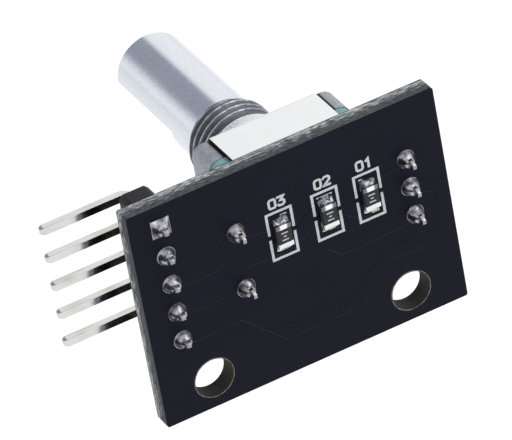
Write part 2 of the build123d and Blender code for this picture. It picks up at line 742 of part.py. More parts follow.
with BuildPart() as click_spring:
    with BuildSketch(behind_seat(CAVITY_FLOOR)):
        Circle(SPRING_RING[1])
        Circle(SPRING_RING[0], mode=Mode.SUBTRACT)
    extrude(amount=SPRING_THICKNESS)
    for side in (1, -1):
        with BuildSketch(across_shaft(side * (SPRING_RING[0] + SPRING_RING[1]) / 2)):
            with BuildLine():
                Polyline(
                    (CAVITY_FLOOR + SPRING_THICKNESS / 2, -SPRING_HUMP_HALF),
                    (ROTOR_FRONT - SPRING_CLEAR, 0),
                    (CAVITY_FLOOR + SPRING_THICKNESS / 2, SPRING_HUMP_HALF),
                )
            trace(line_width=SPRING_THICKNESS)
        extrude(amount=SPRING_HUMP_WIDTH / 2, both=True)
keep(click_spring, "click_spring")

# ======================================================================
# Shaft: turned bar with a D-cut knob end, and the ring that keeps it in the bushing
# ======================================================================
with BuildPart() as shaft:
    with BuildSketch(behind_seat(FLAT_END)):
        Circle(SHAFT_RADIUS)
    extrude(amount=SHAFT_HEAD_END - FLAT_END)
    with BuildSketch(behind_seat(SHAFT_TIP)):
        Circle(D_END_RADIUS)
    extrude(amount=FLAT_END - SHAFT_TIP)
    chamfer(shaft.faces().sort_by(Axis.Y)[0].edges(), length=TIP_CHAMFER)
    flat_normal = math.radians(FLAT_ANGLE)
    flat_reach = FLAT_DISTANCE + SHAFT_RADIUS
    with BuildSketch(behind_seat(SHAFT_TIP)):
        with Locations((flat_reach * math.cos(flat_normal), flat_reach * math.sin(flat_normal))):
            Rectangle(2 * SHAFT_RADIUS, 4 * SHAFT_RADIUS, rotation=FLAT_ANGLE)
    extrude(amount=FLAT_END - SHAFT_TIP, mode=Mode.SUBTRACT)
    with BuildSketch(behind_seat(SHAFT_HEAD_END)):
        Circle(NECK_RADIUS)
    extrude(amount=RING_FRONT - SHAFT_HEAD_END)
    with BuildSketch(behind_seat(RING_FRONT)):
        Circle(RING_GROOVE_RADIUS)
    extrude(amount=RING_BACK - RING_FRONT)
    with BuildSketch(behind_seat(RING_BACK)):
        Circle(DRIVE_RADIUS)
        Rectangle(2 * DRIVE_FLAT, 3 * DRIVE_RADIUS, mode=Mode.INTERSECT)
    extrude(amount=DRIVE_END - RING_BACK)
    with BuildSketch(behind_seat(DRIVE_END)):
        Circle(NOSE_RADIUS)
    extrude(amount=NOSE_END - DRIVE_END)
keep(shaft, "shaft")

with BuildPart() as retaining_ring:
    with BuildSketch(behind_seat(RING_FRONT)):
        Circle(RING_RADIUS)
        Circle(RING_GROOVE_RADIUS, mode=Mode.SUBTRACT)
        with Locations((0, RING_RADIUS)):
            Rectangle(RING_GAP, 2 * RING_RADIUS, mode=Mode.SUBTRACT)
    extrude(amount=RING_BACK - RING_FRONT)
keep(retaining_ring, "retaining_ring")
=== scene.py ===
import math
import random

import bmesh
import bpy
from mathutils import Matrix, Vector, noise


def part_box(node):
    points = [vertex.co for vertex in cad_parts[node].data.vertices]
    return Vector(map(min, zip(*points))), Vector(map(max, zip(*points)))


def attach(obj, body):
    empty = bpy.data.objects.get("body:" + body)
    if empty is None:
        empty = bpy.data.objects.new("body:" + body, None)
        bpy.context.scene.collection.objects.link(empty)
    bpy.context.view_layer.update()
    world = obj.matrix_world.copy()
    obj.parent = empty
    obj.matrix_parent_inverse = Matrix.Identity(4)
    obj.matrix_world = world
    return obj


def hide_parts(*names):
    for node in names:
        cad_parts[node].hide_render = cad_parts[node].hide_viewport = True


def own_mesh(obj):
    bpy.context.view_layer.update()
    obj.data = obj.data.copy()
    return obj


# A push-button rotary encoder soldered to a small circuit board, in the CAD model's own frame: the
# shaft runs along Y with its knob end towards -Y, the solder side of the board faces +Y, and the
# header points along +X.
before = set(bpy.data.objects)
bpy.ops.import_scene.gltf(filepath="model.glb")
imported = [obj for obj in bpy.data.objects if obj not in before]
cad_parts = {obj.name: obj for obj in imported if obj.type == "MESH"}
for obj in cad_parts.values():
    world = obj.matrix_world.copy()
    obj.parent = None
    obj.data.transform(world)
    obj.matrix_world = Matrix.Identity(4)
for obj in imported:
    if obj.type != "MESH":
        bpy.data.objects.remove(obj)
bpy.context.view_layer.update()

# ---------------------------------------------------------------------------------------------
# Board laminate: woven glass cloth in epoxy, 1.6 mm thick, cut from its panel by a router.
# The cut edges show the cloth as pale and dark streaks along the board.
# ---------------------------------------------------------------------------------------------
MM = 0.001


class Value:
    """An output inside a node tree. Arithmetic on it adds the Math nodes that do the sum."""

    def __init__(self, graph, socket):
        self.graph = graph
        self.socket = socket

    def math(self, operation, other, flipped=False):
        pair = (other, self) if flipped else (self, other)
        settings = {"operation": operation}
        return self.graph.node("ShaderNodeMath", settings, {0: pair[0], 1: pair[1]})

    def __add__(self, other):
        return self.math("ADD", other)

    def __radd__(self, other):
        return self.math("ADD", other, flipped=True)

    def __sub__(self, other):
        return self.math("SUBTRACT", other)

    def __rsub__(self, other):
        return self.math("SUBTRACT", other, flipped=True)

    def __mul__(self, other):
        return self.math("MULTIPLY", other)

    def __rmul__(self, other):
        return self.math("MULTIPLY", other, flipped=True)

    def size(self):
        """How far the value is from zero."""
        return self.math("ABSOLUTE", 0.0)

    def step(self, start, end):
        """0 below start, 1 above end, and a smooth rise between them."""
        inputs = {"Value": self, "From Min": start, "From Max": end}
        return self.graph.node("ShaderNodeMapRange", {"interpolation_type": "SMOOTHSTEP"}, inputs)


class Graph:
    """A node tree written as calls: node() adds any node and gives back its first output."""

    def __init__(self, tree):
        self.tree = tree

    def node(self, kind, settings, inputs, output=0):
        made = self.tree.nodes.new(kind)
        for name, setting in settings.items():
            setattr(made, name, setting)
        for name, given in inputs.items():
            if isinstance(given, Value):
                self.tree.links.new(given.socket, made.inputs[name])
            else:
                made.inputs[name].default_value = given
        return Value(self, made.outputs[output])


class Finish(Graph):
    """One surface finish: a Principled shader whose constants are set on its own sockets."""

    def __init__(self, name, **constants):
        self.material = bpy.data.materials.new(name)
        self.material.use_nodes = True
        super().__init__(self.material.node_tree)
        self.tree.nodes.clear()
        named = {word.replace("_", " "): given for word, given in constants.items()}
        self.shader = self.node("ShaderNodeBsdfPrincipled", {}, named)
        end = self.tree.nodes.new("ShaderNodeOutputMaterial")
        self.tree.links.new(self.shader.socket, end.inputs["Surface"])
        self.place = self.node("ShaderNodeTexCoord", {}, {}, output="Object")

    def along(self, axis):
        """Distance along one axis of the shared frame, in metres."""
        return self.node("ShaderNodeSeparateXYZ", {}, {"Vector": self.place}, output=axis)

    def grain(self, size, detail=3.0, stretch=(1, 1, 1), distortion=0.0):
        """Noise from 0 to 1 in lumps of about this size, drawn out along the axes by stretch."""
        scale = [1 / (size * pull) for pull in stretch]
        moved = self.node("ShaderNodeMapping", {}, {"Vector": self.place, "Scale": scale})
        inputs = {"Vector": moved, "Scale": 1.0, "Detail": detail, "Distortion": distortion}
        return self.node("ShaderNodeTexNoise", {}, inputs)

    def cells(self, size):
        """Distance from the nearest of many scattered points, for grains and pits."""
        moved = self.node("ShaderNodeVectorMath", {"operation": "SCALE"},
                          {0: self.place, "Scale": 1 / size})
        return self.node("ShaderNodeTexVoronoi", {}, {"Vector": moved, "Scale": 1.0})

    def tint(self, low, high, share):
        """A colour between low and high; either may be a colour or another tint."""
        inputs = {0: share, 6: self._opaque(low), 7: self._opaque(high)}
        return self.node("ShaderNodeMix", {"data_type": "RGBA"}, inputs, output=2)

    def _opaque(self, colour):
        return colour if isinstance(colour, Value) else (*colour, 1.0)

    def set(self, **varying):
        """Feeds the sockets of the shader that change over the surface."""
        for word, given in varying.items():
            socket = self.shader.socket.node.inputs[word.replace("_", " ")]
            self.tree.links.new(given.socket, socket)

    def relief(self, height, depth, **more):
        """Bump of this depth in metres from a height of 0 to 1."""
        inputs = {"Height": height, "Distance": depth, "Strength": 1.0}
        self.set(Normal=self.node("ShaderNodeBump", {}, inputs), **more)


def coat(node, finish):
    """Puts a finish on a CAD node that is shown as it is."""
    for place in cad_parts[node].material_slots:
        place.material = finish.material


laminate = Finish("laminate", Specular_IOR_Level=0.25)
cloth = laminate.grain(0.05 * MM, 5.0, stretch=(9, 1, 9))
fray = laminate.grain(0.30 * MM, 4.0, stretch=(2.5, 0.6, 2.5))
across_board, up_board = laminate.along("X"), laminate.along("Z")
# the router tears the cloth more towards the solder side
TEAR_START, TEAR_END = 6.7 * MM, 8.1 * MM
rear = laminate.along("Y").step(TEAR_START, TEAR_END)
pale = laminate.tint((0.09, 0.10, 0.105), (0.56, 0.59, 0.59), cloth.step(0.38, 0.62))
dark = laminate.tint((0.022, 0.026, 0.030), (0.11, 0.12, 0.125), cloth.step(0.4, 0.7))
torn = (fray * 0.9 + cloth * 0.50 + rear * 0.30).step(0.68, 0.88)
edge_tone = laminate.tint(pale, dark, torn)
# painted shade: the walls of the two mounting holes are painted dark, for the shade inside them
HOLE_RADIUS = 1.6 * MM
HOLES = ((10.9 * MM, -8.9 * MM), (-6.1 * MM, -8.9 * MM))
HOLE_SHADE_FULL, HOLE_SHADE_GONE = 1.04 * HOLE_RADIUS, 1.1 * HOLE_RADIUS
in_hole = 0.0
for hole_across, hole_up in HOLES:
    off_across, off_up = across_board - hole_across, up_board - hole_up
    distance_squared = off_across * off_across + off_up * off_up
    in_hole = in_hole + (1.0 - distance_squared.step(HOLE_SHADE_FULL ** 2, HOLE_SHADE_GONE ** 2))
hole_wall_shade = laminate.tint((0.010, 0.011, 0.009), (0.036, 0.036, 0.028), cloth.step(0.4, 0.75))
laminate.set(
    Base_Color=laminate.tint(edge_tone, hole_wall_shade, in_hole),
    Roughness=0.55 + 0.35 * cloth,
)
laminate.relief(cloth * 0.6 + fray * 0.4, 0.10 * MM)
coat("circuit_board", laminate)

# ---------------------------------------------------------------------------------------------
# Copper: etched foil for the traces and lands, tinned wherever the mask leaves it bare.
# Only thin rings of it show, round the solder joints and on the front of the board.
# ---------------------------------------------------------------------------------------------
tinned_copper = Finish("tinned_copper", Metallic=1.0)
wetting = tinned_copper.grain(0.25 * MM, 3.0)
tinned_copper.set(
    Base_Color=tinned_copper.tint((0.50, 0.49, 0.46), (0.66, 0.66, 0.66), wetting),
    Roughness=0.22 + 0.25 * wetting,
)
tinned_copper.relief(wetting, 0.02 * MM)
coat("copper_layers", tinned_copper)

# ---------------------------------------------------------------------------------------------
# Solder mask: black lacquer screened over both faces and baked. It runs over the copper, so each
# wide trace stands up as a low rib with sloping sides.
# ---------------------------------------------------------------------------------------------
solder_mask = Finish("solder_mask", Specular_IOR_Level=0.085)
cloud = solder_mask.grain(5 * MM, 3.0)
orange_peel = solder_mask.grain(0.35 * MM, 2.0)
speck = solder_mask.grain(0.10 * MM, 2.0).step(0.66, 0.74)
base = solder_mask.tint((0.0026, 0.0029, 0.0088), (0.0056, 0.0060, 0.0138),
                        cloud * 0.6 + orange_peel * 0.4)
# painted light on each rib: its downward-facing slopes are painted lighter, a painted highlight,
# and its upward-facing slopes darker, a painted shade
facing_way = solder_mask.node("ShaderNodeTexCoord", {}, {}, output="Normal")
downward = solder_mask.node("ShaderNodeSeparateXYZ", {}, {"Vector": facing_way}, output="Z")
base = solder_mask.tint(base, (0.064, 0.067, 0.083), (0.0 - downward).step(0.25, 0.55))
base = solder_mask.tint(base, (0.0006, 0.0007, 0.0030), downward.step(0.25, 0.55))
solder_mask.set(
    Base_Color=solder_mask.tint(base, (0.020, 0.022, 0.030), speck * 0.5),
    Roughness=0.34 + 0.16 * cloud + 0.08 * orange_peel,
)
solder_mask.relief(orange_peel, 0.012 * MM)
coat("solder_mask_back", solder_mask)
coat("solder_mask_front", solder_mask)

header_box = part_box("header_solder")
encoder_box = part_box("encoder_solder")
board_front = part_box("circuit_board")[0][1]
mask_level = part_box("solder_mask_back")[1][1]
legend_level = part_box("printed_legend")[1][1]
header_column = (header_box[0][0] + header_box[1][0]) / 2
LAND_RADIUS, TERMINAL_PITCH, PIN_PITCH, PIN_COUNT = 0.76 * MM, 2.5 * MM, 2.54 * MM, 5
header_rows = [header_box[1][2] - LAND_RADIUS - PIN_PITCH * row for row in range(PIN_COUNT)]
terminal_column = encoder_box[0][0] + LAND_RADIUS
switch_column = encoder_box[1][0] - LAND_RADIUS
terminal_rows = [TERMINAL_PITCH, 0.0, -TERMINAL_PITCH]
switch_rows = [TERMINAL_PITCH, -TERMINAL_PITCH]
chip_places = {}
for number in ("1", "2", "3"):
    low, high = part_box(f"resistor_{number}_caps")
    chip_places[number] = Vector(((low[0] + high[0]) / 2, low[1], (low[2] + high[2]) / 2))
one, two, three = (chip_places[number] for number in ("1", "2", "3"))
# Each route runs through (across, up) points, from a joint or a chip's land to another.
land = 1.105 * MM
TRACE_ROUTES = [
    [(header_column, header_rows[2]), (9.1 * MM, header_rows[2]), (switch_column, switch_rows[0]),
     (three.x, three.z + land)],
    [(header_column, header_rows[3]), (9.1 * MM, header_rows[3]), (7.3 * MM, -0.25 * MM),
     (three.x, three.z - land)],
    [(header_column, header_rows[4]), (7.6 * MM, header_rows[4]), (4.3 * MM, -7.8 * MM),
     (-1.8 * MM, -7.8 * MM), (-4.6 * MM, -5.0 * MM), (-9.2 * MM, -5.0 * MM),
     (-9.85 * MM, -4.3 * MM), (-9.85 * MM, -0.9 * MM), (terminal_column, terminal_rows[1])],
    [(three.x, three.z - land), (2.6 * MM, -0.3 * MM), (two.x, two.z + land)],
    [(two.x, two.z + land), (-3.2 * MM, -0.3 * MM), (one.x, one.z - land)],
    [(two.x, two.z - land), (-0.5 * MM, -1.9 * MM), (-1.3 * MM, -2.7 * MM),
     (terminal_column, terminal_rows[2])],
    [(one.x, one.z + land), (-5.0 * MM, terminal_rows[0]), (terminal_column, terminal_rows[0])],
]


class Recipe(Graph):
    """A Geometry Nodes tree with named inputs. bake() leaves a plain mesh, and no modifier."""

    def __init__(self, name, **sizes):
        super().__init__(bpy.data.node_groups.new(name, "GeometryNodeTree"))
        shape = self.tree.interface.new_socket("Geometry", in_out="INPUT",
                                               socket_type="NodeSocketGeometry")
        self.sockets = {"Geometry": shape.identifier}
        for word, kind in sizes.items():
            made = self.tree.interface.new_socket(word, in_out="INPUT", socket_type=kind)
            self.sockets[word] = made.identifier
        self.tree.interface.new_socket("Geometry", in_out="OUTPUT",
                                       socket_type="NodeSocketGeometry")
        self.group_in = self.tree.nodes.new("NodeGroupInput")
        self.group_out = self.tree.nodes.new("NodeGroupOutput")

    def given(self, word):
        return Value(self, self.group_in.outputs[word])

    def finish(self, shape, finish):
        """Ends the tree: real geometry, then the finish."""
        real = self.node("GeometryNodeRealizeInstances", {}, {"Geometry": shape})
        painted = self.node("GeometryNodeSetMaterial", {},
                            {"Geometry": real, "Material": finish.material})
        self.tree.links.new(painted.socket, self.group_out.inputs["Geometry"])

    def bake(self, piece, finish, **sizes):
        """Runs the tree on a piece and keeps what it makes."""
        modifier = piece.modifiers.new("recipe", "NODES")
        modifier.node_group = self.tree
        for word, size in sizes.items():
            modifier[self.sockets[word]] = size
        ready = piece.evaluated_get(bpy.context.evaluated_depsgraph_get())
        made = bpy.data.meshes.new_from_object(ready)
        piece.modifiers.remove(modifier)
        piece.data = made
        piece.data.materials.clear()
        piece.data.materials.append(finish.material)
        return piece


def shown(name, data):
    """A new object at the origin, put into the scene."""
    made = bpy.data.objects.new(name, data)
    bpy.context.scene.collection.objects.link(made)
    return made


def piece_from(name, corners, faces, finish, smooth=True, marks=None):
    """A new object with its faces outward. marks is the name and values of a corner attribute."""
    mesh = bpy.data.meshes.new(name)
    mesh.from_pydata([tuple(corner) for corner in corners], [], faces)
    if marks:
        mesh.attributes.new(marks[0], "FLOAT", "POINT").data.foreach_set("value", marks[1])
    tidy = bmesh.new()
    tidy.from_mesh(mesh)
    bmesh.ops.remove_doubles(tidy, verts=tidy.verts, dist=0.0005 * MM)
    bmesh.ops.recalc_face_normals(tidy, faces=tidy.faces)
    tidy.to_mesh(mesh)
    tidy.free()
    mesh.materials.append(finish.material)
    if smooth:
        mesh.shade_smooth()
    return shown(name, mesh)


# The ribs: each route is widened by a flat-topped profile with sloping sides.
RIB_WIDTH, RIB_RISE, RIB_SLOPES = 1.31 * MM, 0.036 * MM, 0.10 * MM
rib_corners = []
rib_edges = []
for route in TRACE_ROUTES:
    first = len(rib_corners)
    rib_corners += [(across, mask_level, up) for across, up in route]
    rib_edges += [(first + k, first + k + 1) for k in range(len(route) - 1)]
rib_mesh = bpy.data.meshes.new("trace_ribs")
rib_mesh.from_pydata(rib_corners, rib_edges, [])
trace_ribs = shown("trace_ribs", rib_mesh)

rib_recipe = Recipe("rib_along_route", Width="NodeSocketFloat", Rise="NodeSocketFloat")
lines = rib_recipe.node("GeometryNodeMeshToCurve", {}, {"Mesh": rib_recipe.given("Geometry")})
standing = rib_recipe.node("GeometryNodeSetCurveNormal", {"mode": "FREE"},
                           {"Curve": lines, "Normal": (0.0, 1.0, 0.0)})
profile = rib_recipe.node(
    "GeometryNodeCurvePrimitiveQuadrilateral", {"mode": "TRAPEZOID"},
    {"Height": rib_recipe.given("Rise"), "Bottom Width": rib_recipe.given("Width"),
     "Top Width": rib_recipe.given("Width") - RIB_SLOPES, "Offset": 0.0})
flat = rib_recipe.node("GeometryNodeTransform", {},
                       {"Geometry": profile, "Rotation": (0.0, 0.0, -math.pi / 2)})
ribs = rib_recipe.node("GeometryNodeCurveToMesh", {},
                       {"Curve": standing, "Profile Curve": flat, "Fill Caps": True})
rib_recipe.finish(ribs, solder_mask)
rib_recipe.bake(trace_ribs, solder_mask, Width=RIB_WIDTH, Rise=RIB_RISE)
trace_ribs.data.shade_flat()
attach(trace_ribs, "module")

# ---------------------------------------------------------------------------------------------
# Legend: white epoxy ink screened on the mask, slightly ragged at its edges. A broken frame stands
# round each resistor and a plain two-figure index above it.
# ---------------------------------------------------------------------------------------------
legend_ink = Finish("legend_ink", Specular_IOR_Level=0.3)
screen = legend_ink.grain(0.12 * MM, 3.0)
worn = legend_ink.grain(0.45 * MM, 3.0)
legend_ink.set(
    Base_Color=legend_ink.tint((0.30, 0.31, 0.33), (0.60, 0.61, 0.62), screen * 0.6 + worn * 0.5),
    Roughness=0.55 + 0.2 * screen,
)
legend_ink.relief(screen, 0.015 * MM)

FRAME_LINE, FIGURE_LINE = 0.22 * MM, 0.20 * MM
FRAME_HALF_WIDTH, FRAME_HALF_HEIGHT, FRAME_GAP = 1.04 * MM, 2.015 * MM, 0.27 * MM
FIGURE_WIDTH, FIGURE_HEIGHT, FIGURE_STEP = 0.85 * MM, 0.74 * MM, 0.88
FIGURE_LEFT, FIGURE_FOOT = 0.64 * MM, 2.44 * MM
# Each figure is one or more strokes in a box one wide and one high.
FIGURES = {
    "0": [[(0.5, 0.0), (0.12, 0.0), (0.0, 0.14), (0.0, 0.86), (0.12, 1.0), (0.5, 1.0),
           (0.62, 0.86), (0.62, 0.14), (0.5, 0.0)]],
    "1": [[(0.1, 0.78), (0.34, 1.0), (0.34, 0.0)]],
    "2": [[(0.0, 0.84), (0.14, 1.0), (0.48, 1.0), (0.62, 0.84), (0.62, 0.6), (0.0, 0.0),
           (0.64, 0.0)]],
    "3": [[(0.0, 1.0), (0.62, 1.0), (0.28, 0.58), (0.48, 0.58), (0.62, 0.42), (0.62, 0.16),
           (0.46, 0.0), (0.12, 0.0), (0.0, 0.12)]],
}


INK_STEP, INK_WOBBLE, INK_OVERRUN = 0.18 * MM, 0.07, 0.35


def ink_line(points, width, level, corners, faces, rng):
    """A stroke of ink through (across, up) points: flat, mitred, and a little uneven in width."""
    path = []
    for start, end in zip(points, points[1:]):
        steps = max(1, round(math.dist(start, end) / INK_STEP))
        for step in range(steps):
            share = step / steps
            path.append((start[0] + (end[0] - start[0]) * share,
                         start[1] + (end[1] - start[1]) * share))
    closed = math.dist(points[0], points[-1]) < 1e-9
    if not closed:
        path.append(points[-1])
    count = len(path)
    rails = []
    for k, (across, up) in enumerate(path):
        before = path[(k - 1) % count] if closed or k else None
        after = path[(k + 1) % count] if closed or k < count - 1 else None
        turns = []
        if before:
            turns.append(Vector((across - before[0], up - before[1])).normalized())
        if after:
            turns.append(Vector((after[0] - across, after[1] - up)).normalized())
        if len(turns) == 1:
            turns *= 2
        normals = [Vector((-turn.y, turn.x)) for turn in turns]
        mitre = (normals[0] + normals[1]).normalized()
        reach = width / 2 / max(0.5, mitre.dot(normals[0]))
        overrun = 0.0
        if not closed and k in (0, count - 1):
            overrun = width * INK_OVERRUN * (-1 if k == 0 else 1)
        shift = turns[0] * overrun
        for side in (1, -1):
            wobble = 1 + rng.uniform(-INK_WOBBLE, INK_WOBBLE)
            point = Vector((across, up)) + shift + mitre * reach * side * wobble
            rails.append((point.x, point.y))
    first = len(corners)
    corners.extend((x, level, z) for x, z in rails)
    pairs = count if closed else count - 1
    for k in range(pairs):
        a, b = first + 2 * k, first + 2 * ((k + 1) % count)
        faces.append((a, a + 1, b + 1, b))


def face_rear(piece):
    """Turns every face of a flat piece towards the solder side."""
    for face in piece.data.polygons:
        if face.normal.y < 0:
            face.flip()


rng = random.Random(11)
ink_corners, ink_faces = [], []
for number, place in chip_places.items():
    for side in (1, -1):
        bracket = [
            (place.x + FRAME_HALF_WIDTH, place.z + side * FRAME_GAP),
            (place.x + FRAME_HALF_WIDTH, place.z + side * FRAME_HALF_HEIGHT),
            (place.x - FRAME_HALF_WIDTH, place.z + side * FRAME_HALF_HEIGHT),
            (place.x - FRAME_HALF_WIDTH, place.z + side * FRAME_GAP),
        ]
        ink_line(bracket, FRAME_LINE, legend_level, ink_corners, ink_faces, rng)
    for column, figure in enumerate("0" + number):
        for stroke in FIGURES[figure]:
            line = [
                (place.x + FIGURE_LEFT - (across + FIGURE_STEP * column) * FIGURE_WIDTH,
                 place.z + FIGURE_FOOT + up * FIGURE_HEIGHT)
                for across, up in stroke
            ]
            ink_line(line, FIGURE_LINE, legend_level, ink_corners, ink_faces, rng)
legend = piece_from("legend", ink_corners, ink_faces, legend_ink, smooth=False)
face_rear(legend)
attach(legend, "module")
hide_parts("printed_legend")

# ---------------------------------------------------------------------------------------------
# Hole rims: bare laminate, where the lacquer stops just short of each drilled mounting hole.
# Each is a thin uneven ring, chamfered into the hole by the drill.
# ---------------------------------------------------------------------------------------------
RIM_STEPS, RIM_WIDTH, RIM_UNEVEN = 64, 0.10, 0.035
RIM_CHAMFER, RIM_CHAMFER_DEPTH = 0.03 * MM, 0.05 * MM
rim_level = mask_level + 0.004 * MM
rim_corners, rim_faces = [], []
for across, up in HOLES:
    first = len(rim_corners)
    for k in range(RIM_STEPS):
        angle = 2 * math.pi * k / RIM_STEPS
        uneven = noise.noise((4 * math.cos(angle), 4 * math.sin(angle), across * 900))
        outer = HOLE_RADIUS + (RIM_WIDTH + RIM_UNEVEN * uneven) * MM
        for radius, depth in ((HOLE_RADIUS, RIM_CHAMFER_DEPTH), (HOLE_RADIUS + RIM_CHAMFER, 0.0),
                              (outer, 0.0)):
            rim_corners.append((across + radius * math.cos(angle), rim_level - depth,
                                up + radius * math.sin(angle)))
    for k in range(RIM_STEPS):
        a, b = first + 3 * k, first + 3 * ((k + 1) % RIM_STEPS)
        rim_faces += [(a, b, b + 1, a + 1), (a + 1, b + 1, b + 2, a + 2)]
bare_rim = Finish("bare_rim", Specular_IOR_Level=0.3)
rim_grain = bare_rim.grain(0.2 * MM, 3.0)
bare_rim.set(
    Base_Color=bare_rim.tint((0.04, 0.038, 0.026), (0.19, 0.19, 0.15), rim_grain.step(0.3, 0.7)),
    Roughness=0.5 + 0.3 * rim_grain,
)
bare_rim.relief(rim_grain, 0.03 * MM)
hole_rims = piece_from("hole_rims", rim_corners, rim_faces, bare_rim)
face_rear(hole_rims)
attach(hole_rims, "module")

# ---------------------------------------------------------------------------------------------
# Pin header: five square brass pins, tinned bright, bent over a black moulded bar.
# The ends are swaged to a blunt taper and the edges are slightly rounded by the plating.
# ---------------------------------------------------------------------------------------------
WELD, FLAT_ANGLE = 0.0008 * MM, math.radians(1.0)


def eased(node, name, ease, finish, segments=2, angle=28.0):
    """A copy of a CAD piece with its sharp edges rounded, standing for that piece."""
    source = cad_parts[node]
    mesh = source.data.copy()
    work = bmesh.new()
    work.from_mesh(mesh)
    bmesh.ops.remove_doubles(work, verts=work.verts, dist=WELD)
    bmesh.ops.dissolve_limit(work, angle_limit=FLAT_ANGLE, verts=work.verts,
                             edges=work.edges, use_dissolve_boundaries=False)
    work.to_mesh(mesh)
    work.free()
    mesh.name = name
    mesh.materials.clear()
    mesh.materials.append(finish.material)
    made = shown(name, mesh)
    bevel = made.modifiers.new("ease", "BEVEL")
    bevel.width = ease
    bevel.segments = segments
    bevel.limit_method = "ANGLE"
    bevel.angle_limit = math.radians(angle)
    made.modifiers.new("even", "WEIGHTED_NORMAL")
    mesh.shade_smooth()
    ready = made.evaluated_get(bpy.context.evaluated_depsgraph_get())
    made.data = bpy.data.meshes.new_from_object(ready)
    made.modifiers.clear()
    return made


pin_tin = Finish("pin_tin", Metallic=1.0)
drawn = pin_tin.grain(0.05 * MM, 3.0, stretch=(14, 2, 2))
smear = pin_tin.grain(0.9 * MM, 3.0, stretch=(2.5, 1, 1))
# the tails, behind the board, are coated by the solder that holds them
TAIL_START, TAIL_FULL = 8.2 * MM, 8.6 * MM
tail = pin_tin.along("Y").step(TAIL_START, TAIL_FULL)
plated = pin_tin.tint((0.50, 0.49, 0.44), (0.63, 0.63, 0.615), smear.step(0.25, 0.6))
coated = pin_tin.tint((0.14, 0.14, 0.155), (0.46, 0.46, 0.49), drawn * 0.5 + smear * 0.5)
pin_tin.set(
    Base_Color=pin_tin.tint(plated, coated, tail),
    Roughness=0.05 + 0.10 * drawn + 0.05 * smear + 0.18 * tail,
)
pin_tin.relief(drawn * 0.6 + smear * 0.4, 0.004 * MM)

# The top pin. Its swaged end is short and blunt: the taper starts late and ends in a wide face.
PIN_HALF = 0.32 * MM
END_FACE, TAPER, TAPER_LATE, END_FACE_WIDER = 0.1 * MM, 0.6 * MM, 0.17 * MM, 1.35
header_pins = eased("header_pin_1", "header_pins", 0.035 * MM, pin_tin)
pin_low, pin_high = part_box("header_pin_1")
pin_axis = Vector((0.0, pin_low[1] + PIN_HALF, header_rows[0]))
for corner in header_pins.data.vertices:
    from_tip = pin_high[0] - corner.co.x
    if from_tip < END_FACE:
        corner.co.y = pin_axis.y + END_FACE_WIDER * (corner.co.y - pin_axis.y)
        corner.co.z = pin_axis.z + END_FACE_WIDER * (corner.co.z - pin_axis.z)
    elif from_tip < TAPER:
        corner.co.x += TAPER_LATE

# Four more, a pitch apart below it.
pin_row = Recipe("pins_in_a_row", Count="NodeSocketInt", Pitch="NodeSocketFloat")
drop = pin_row.node("ShaderNodeCombineXYZ", {}, {"Z": 0.0 - pin_row.given("Pitch")})
row_points = pin_row.node("GeometryNodeMeshLine", {"mode": "OFFSET"},
                          {"Count": pin_row.given("Count"), "Offset": drop})
row_of_pins = pin_row.node("GeometryNodeInstanceOnPoints", {},
                           {"Points": row_points, "Instance": pin_row.given("Geometry")})
pin_row.finish(row_of_pins, pin_tin)
pin_row.bake(header_pins, pin_tin, Count=PIN_COUNT, Pitch=PIN_PITCH)
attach(header_pins, "module")
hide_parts(*(f"header_pin_{row}" for row in range(1, 6)))

header_plastic = Finish("header_plastic", Specular_IOR_Level=0.22)
pores = header_plastic.grain(0.06 * MM, 3.0)
flow = header_plastic.grain(1.5 * MM, 3.0)
header_plastic.set(
    Base_Color=header_plastic.tint((0.006, 0.006, 0.007), (0.016, 0.016, 0.018),
                                   flow * 0.6 + pores * 0.4),
    Roughness=0.42 + 0.2 * pores,
)
header_plastic.relief(pores, 0.012 * MM)
header_bar = eased("header_insulator", "header_bar", 0.08 * MM, header_plastic, angle=35.0)
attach(header_bar, "module")
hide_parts("header_insulator")

# ---------------------------------------------------------------------------------------------
# Solder: tin alloy that has wetted each land and crept up its lead, then frozen bright and a
# little lumpy. Each joint fills its plated hole and shows a small collar on the front.
# ---------------------------------------------------------------------------------------------
solder = Finish("solder", Metallic=1.0)
freeze = solder.grain(0.50 * MM, 2.0)
frost = solder.grain(0.12 * MM, 2.0)
# painted reflection: each joint carries a dark band on one side, painted in for the dark
# surroundings it reflects
dark_reflection_band = solder.node("ShaderNodeAttribute", {"attribute_name": "painted_dark_reflection"}, {}, output="Fac")
clean = solder.tint((0.15, 0.15, 0.17), (0.46, 0.46, 0.49), freeze.step(0.30, 0.56))
solder.set(
    Base_Color=solder.tint(clean, (0.022, 0.022, 0.030), dark_reflection_band.step(0.10, 0.7) * 0.95),
    Roughness=0.33 + 0.14 * freeze.step(0.35, 0.75),
)
solder.relief(freeze * 0.9 + frost * 0.1, 0.024 * MM)


def skin(first, rings, around, faces, reverse=False):
    """Four-cornered faces between each ring of corners and the next, from corner first on."""
    for ring in range(rings - 1):
        for k in range(around):
            a = first + ring * around + k
            b = first + ring * around + (k + 1) % around
            face = (a, b, b + around, a + around)
            faces.append((a, a + around, b + around, b) if reverse else face)


land_level = header_box[1][1] - 0.5 * MM
JOINT_RINGS, JOINT_AROUND = 16, 48
LUMPS, TALLER, TOP_CLOSES = 0.20, 0.14, 0.4
REFLECTION_WAY, REFLECTION_SPREAD, REFLECTION_WANDER = 0.30, 0.34, 0.30
BARREL, COLLAR = 0.50 * MM, 0.72 * MM


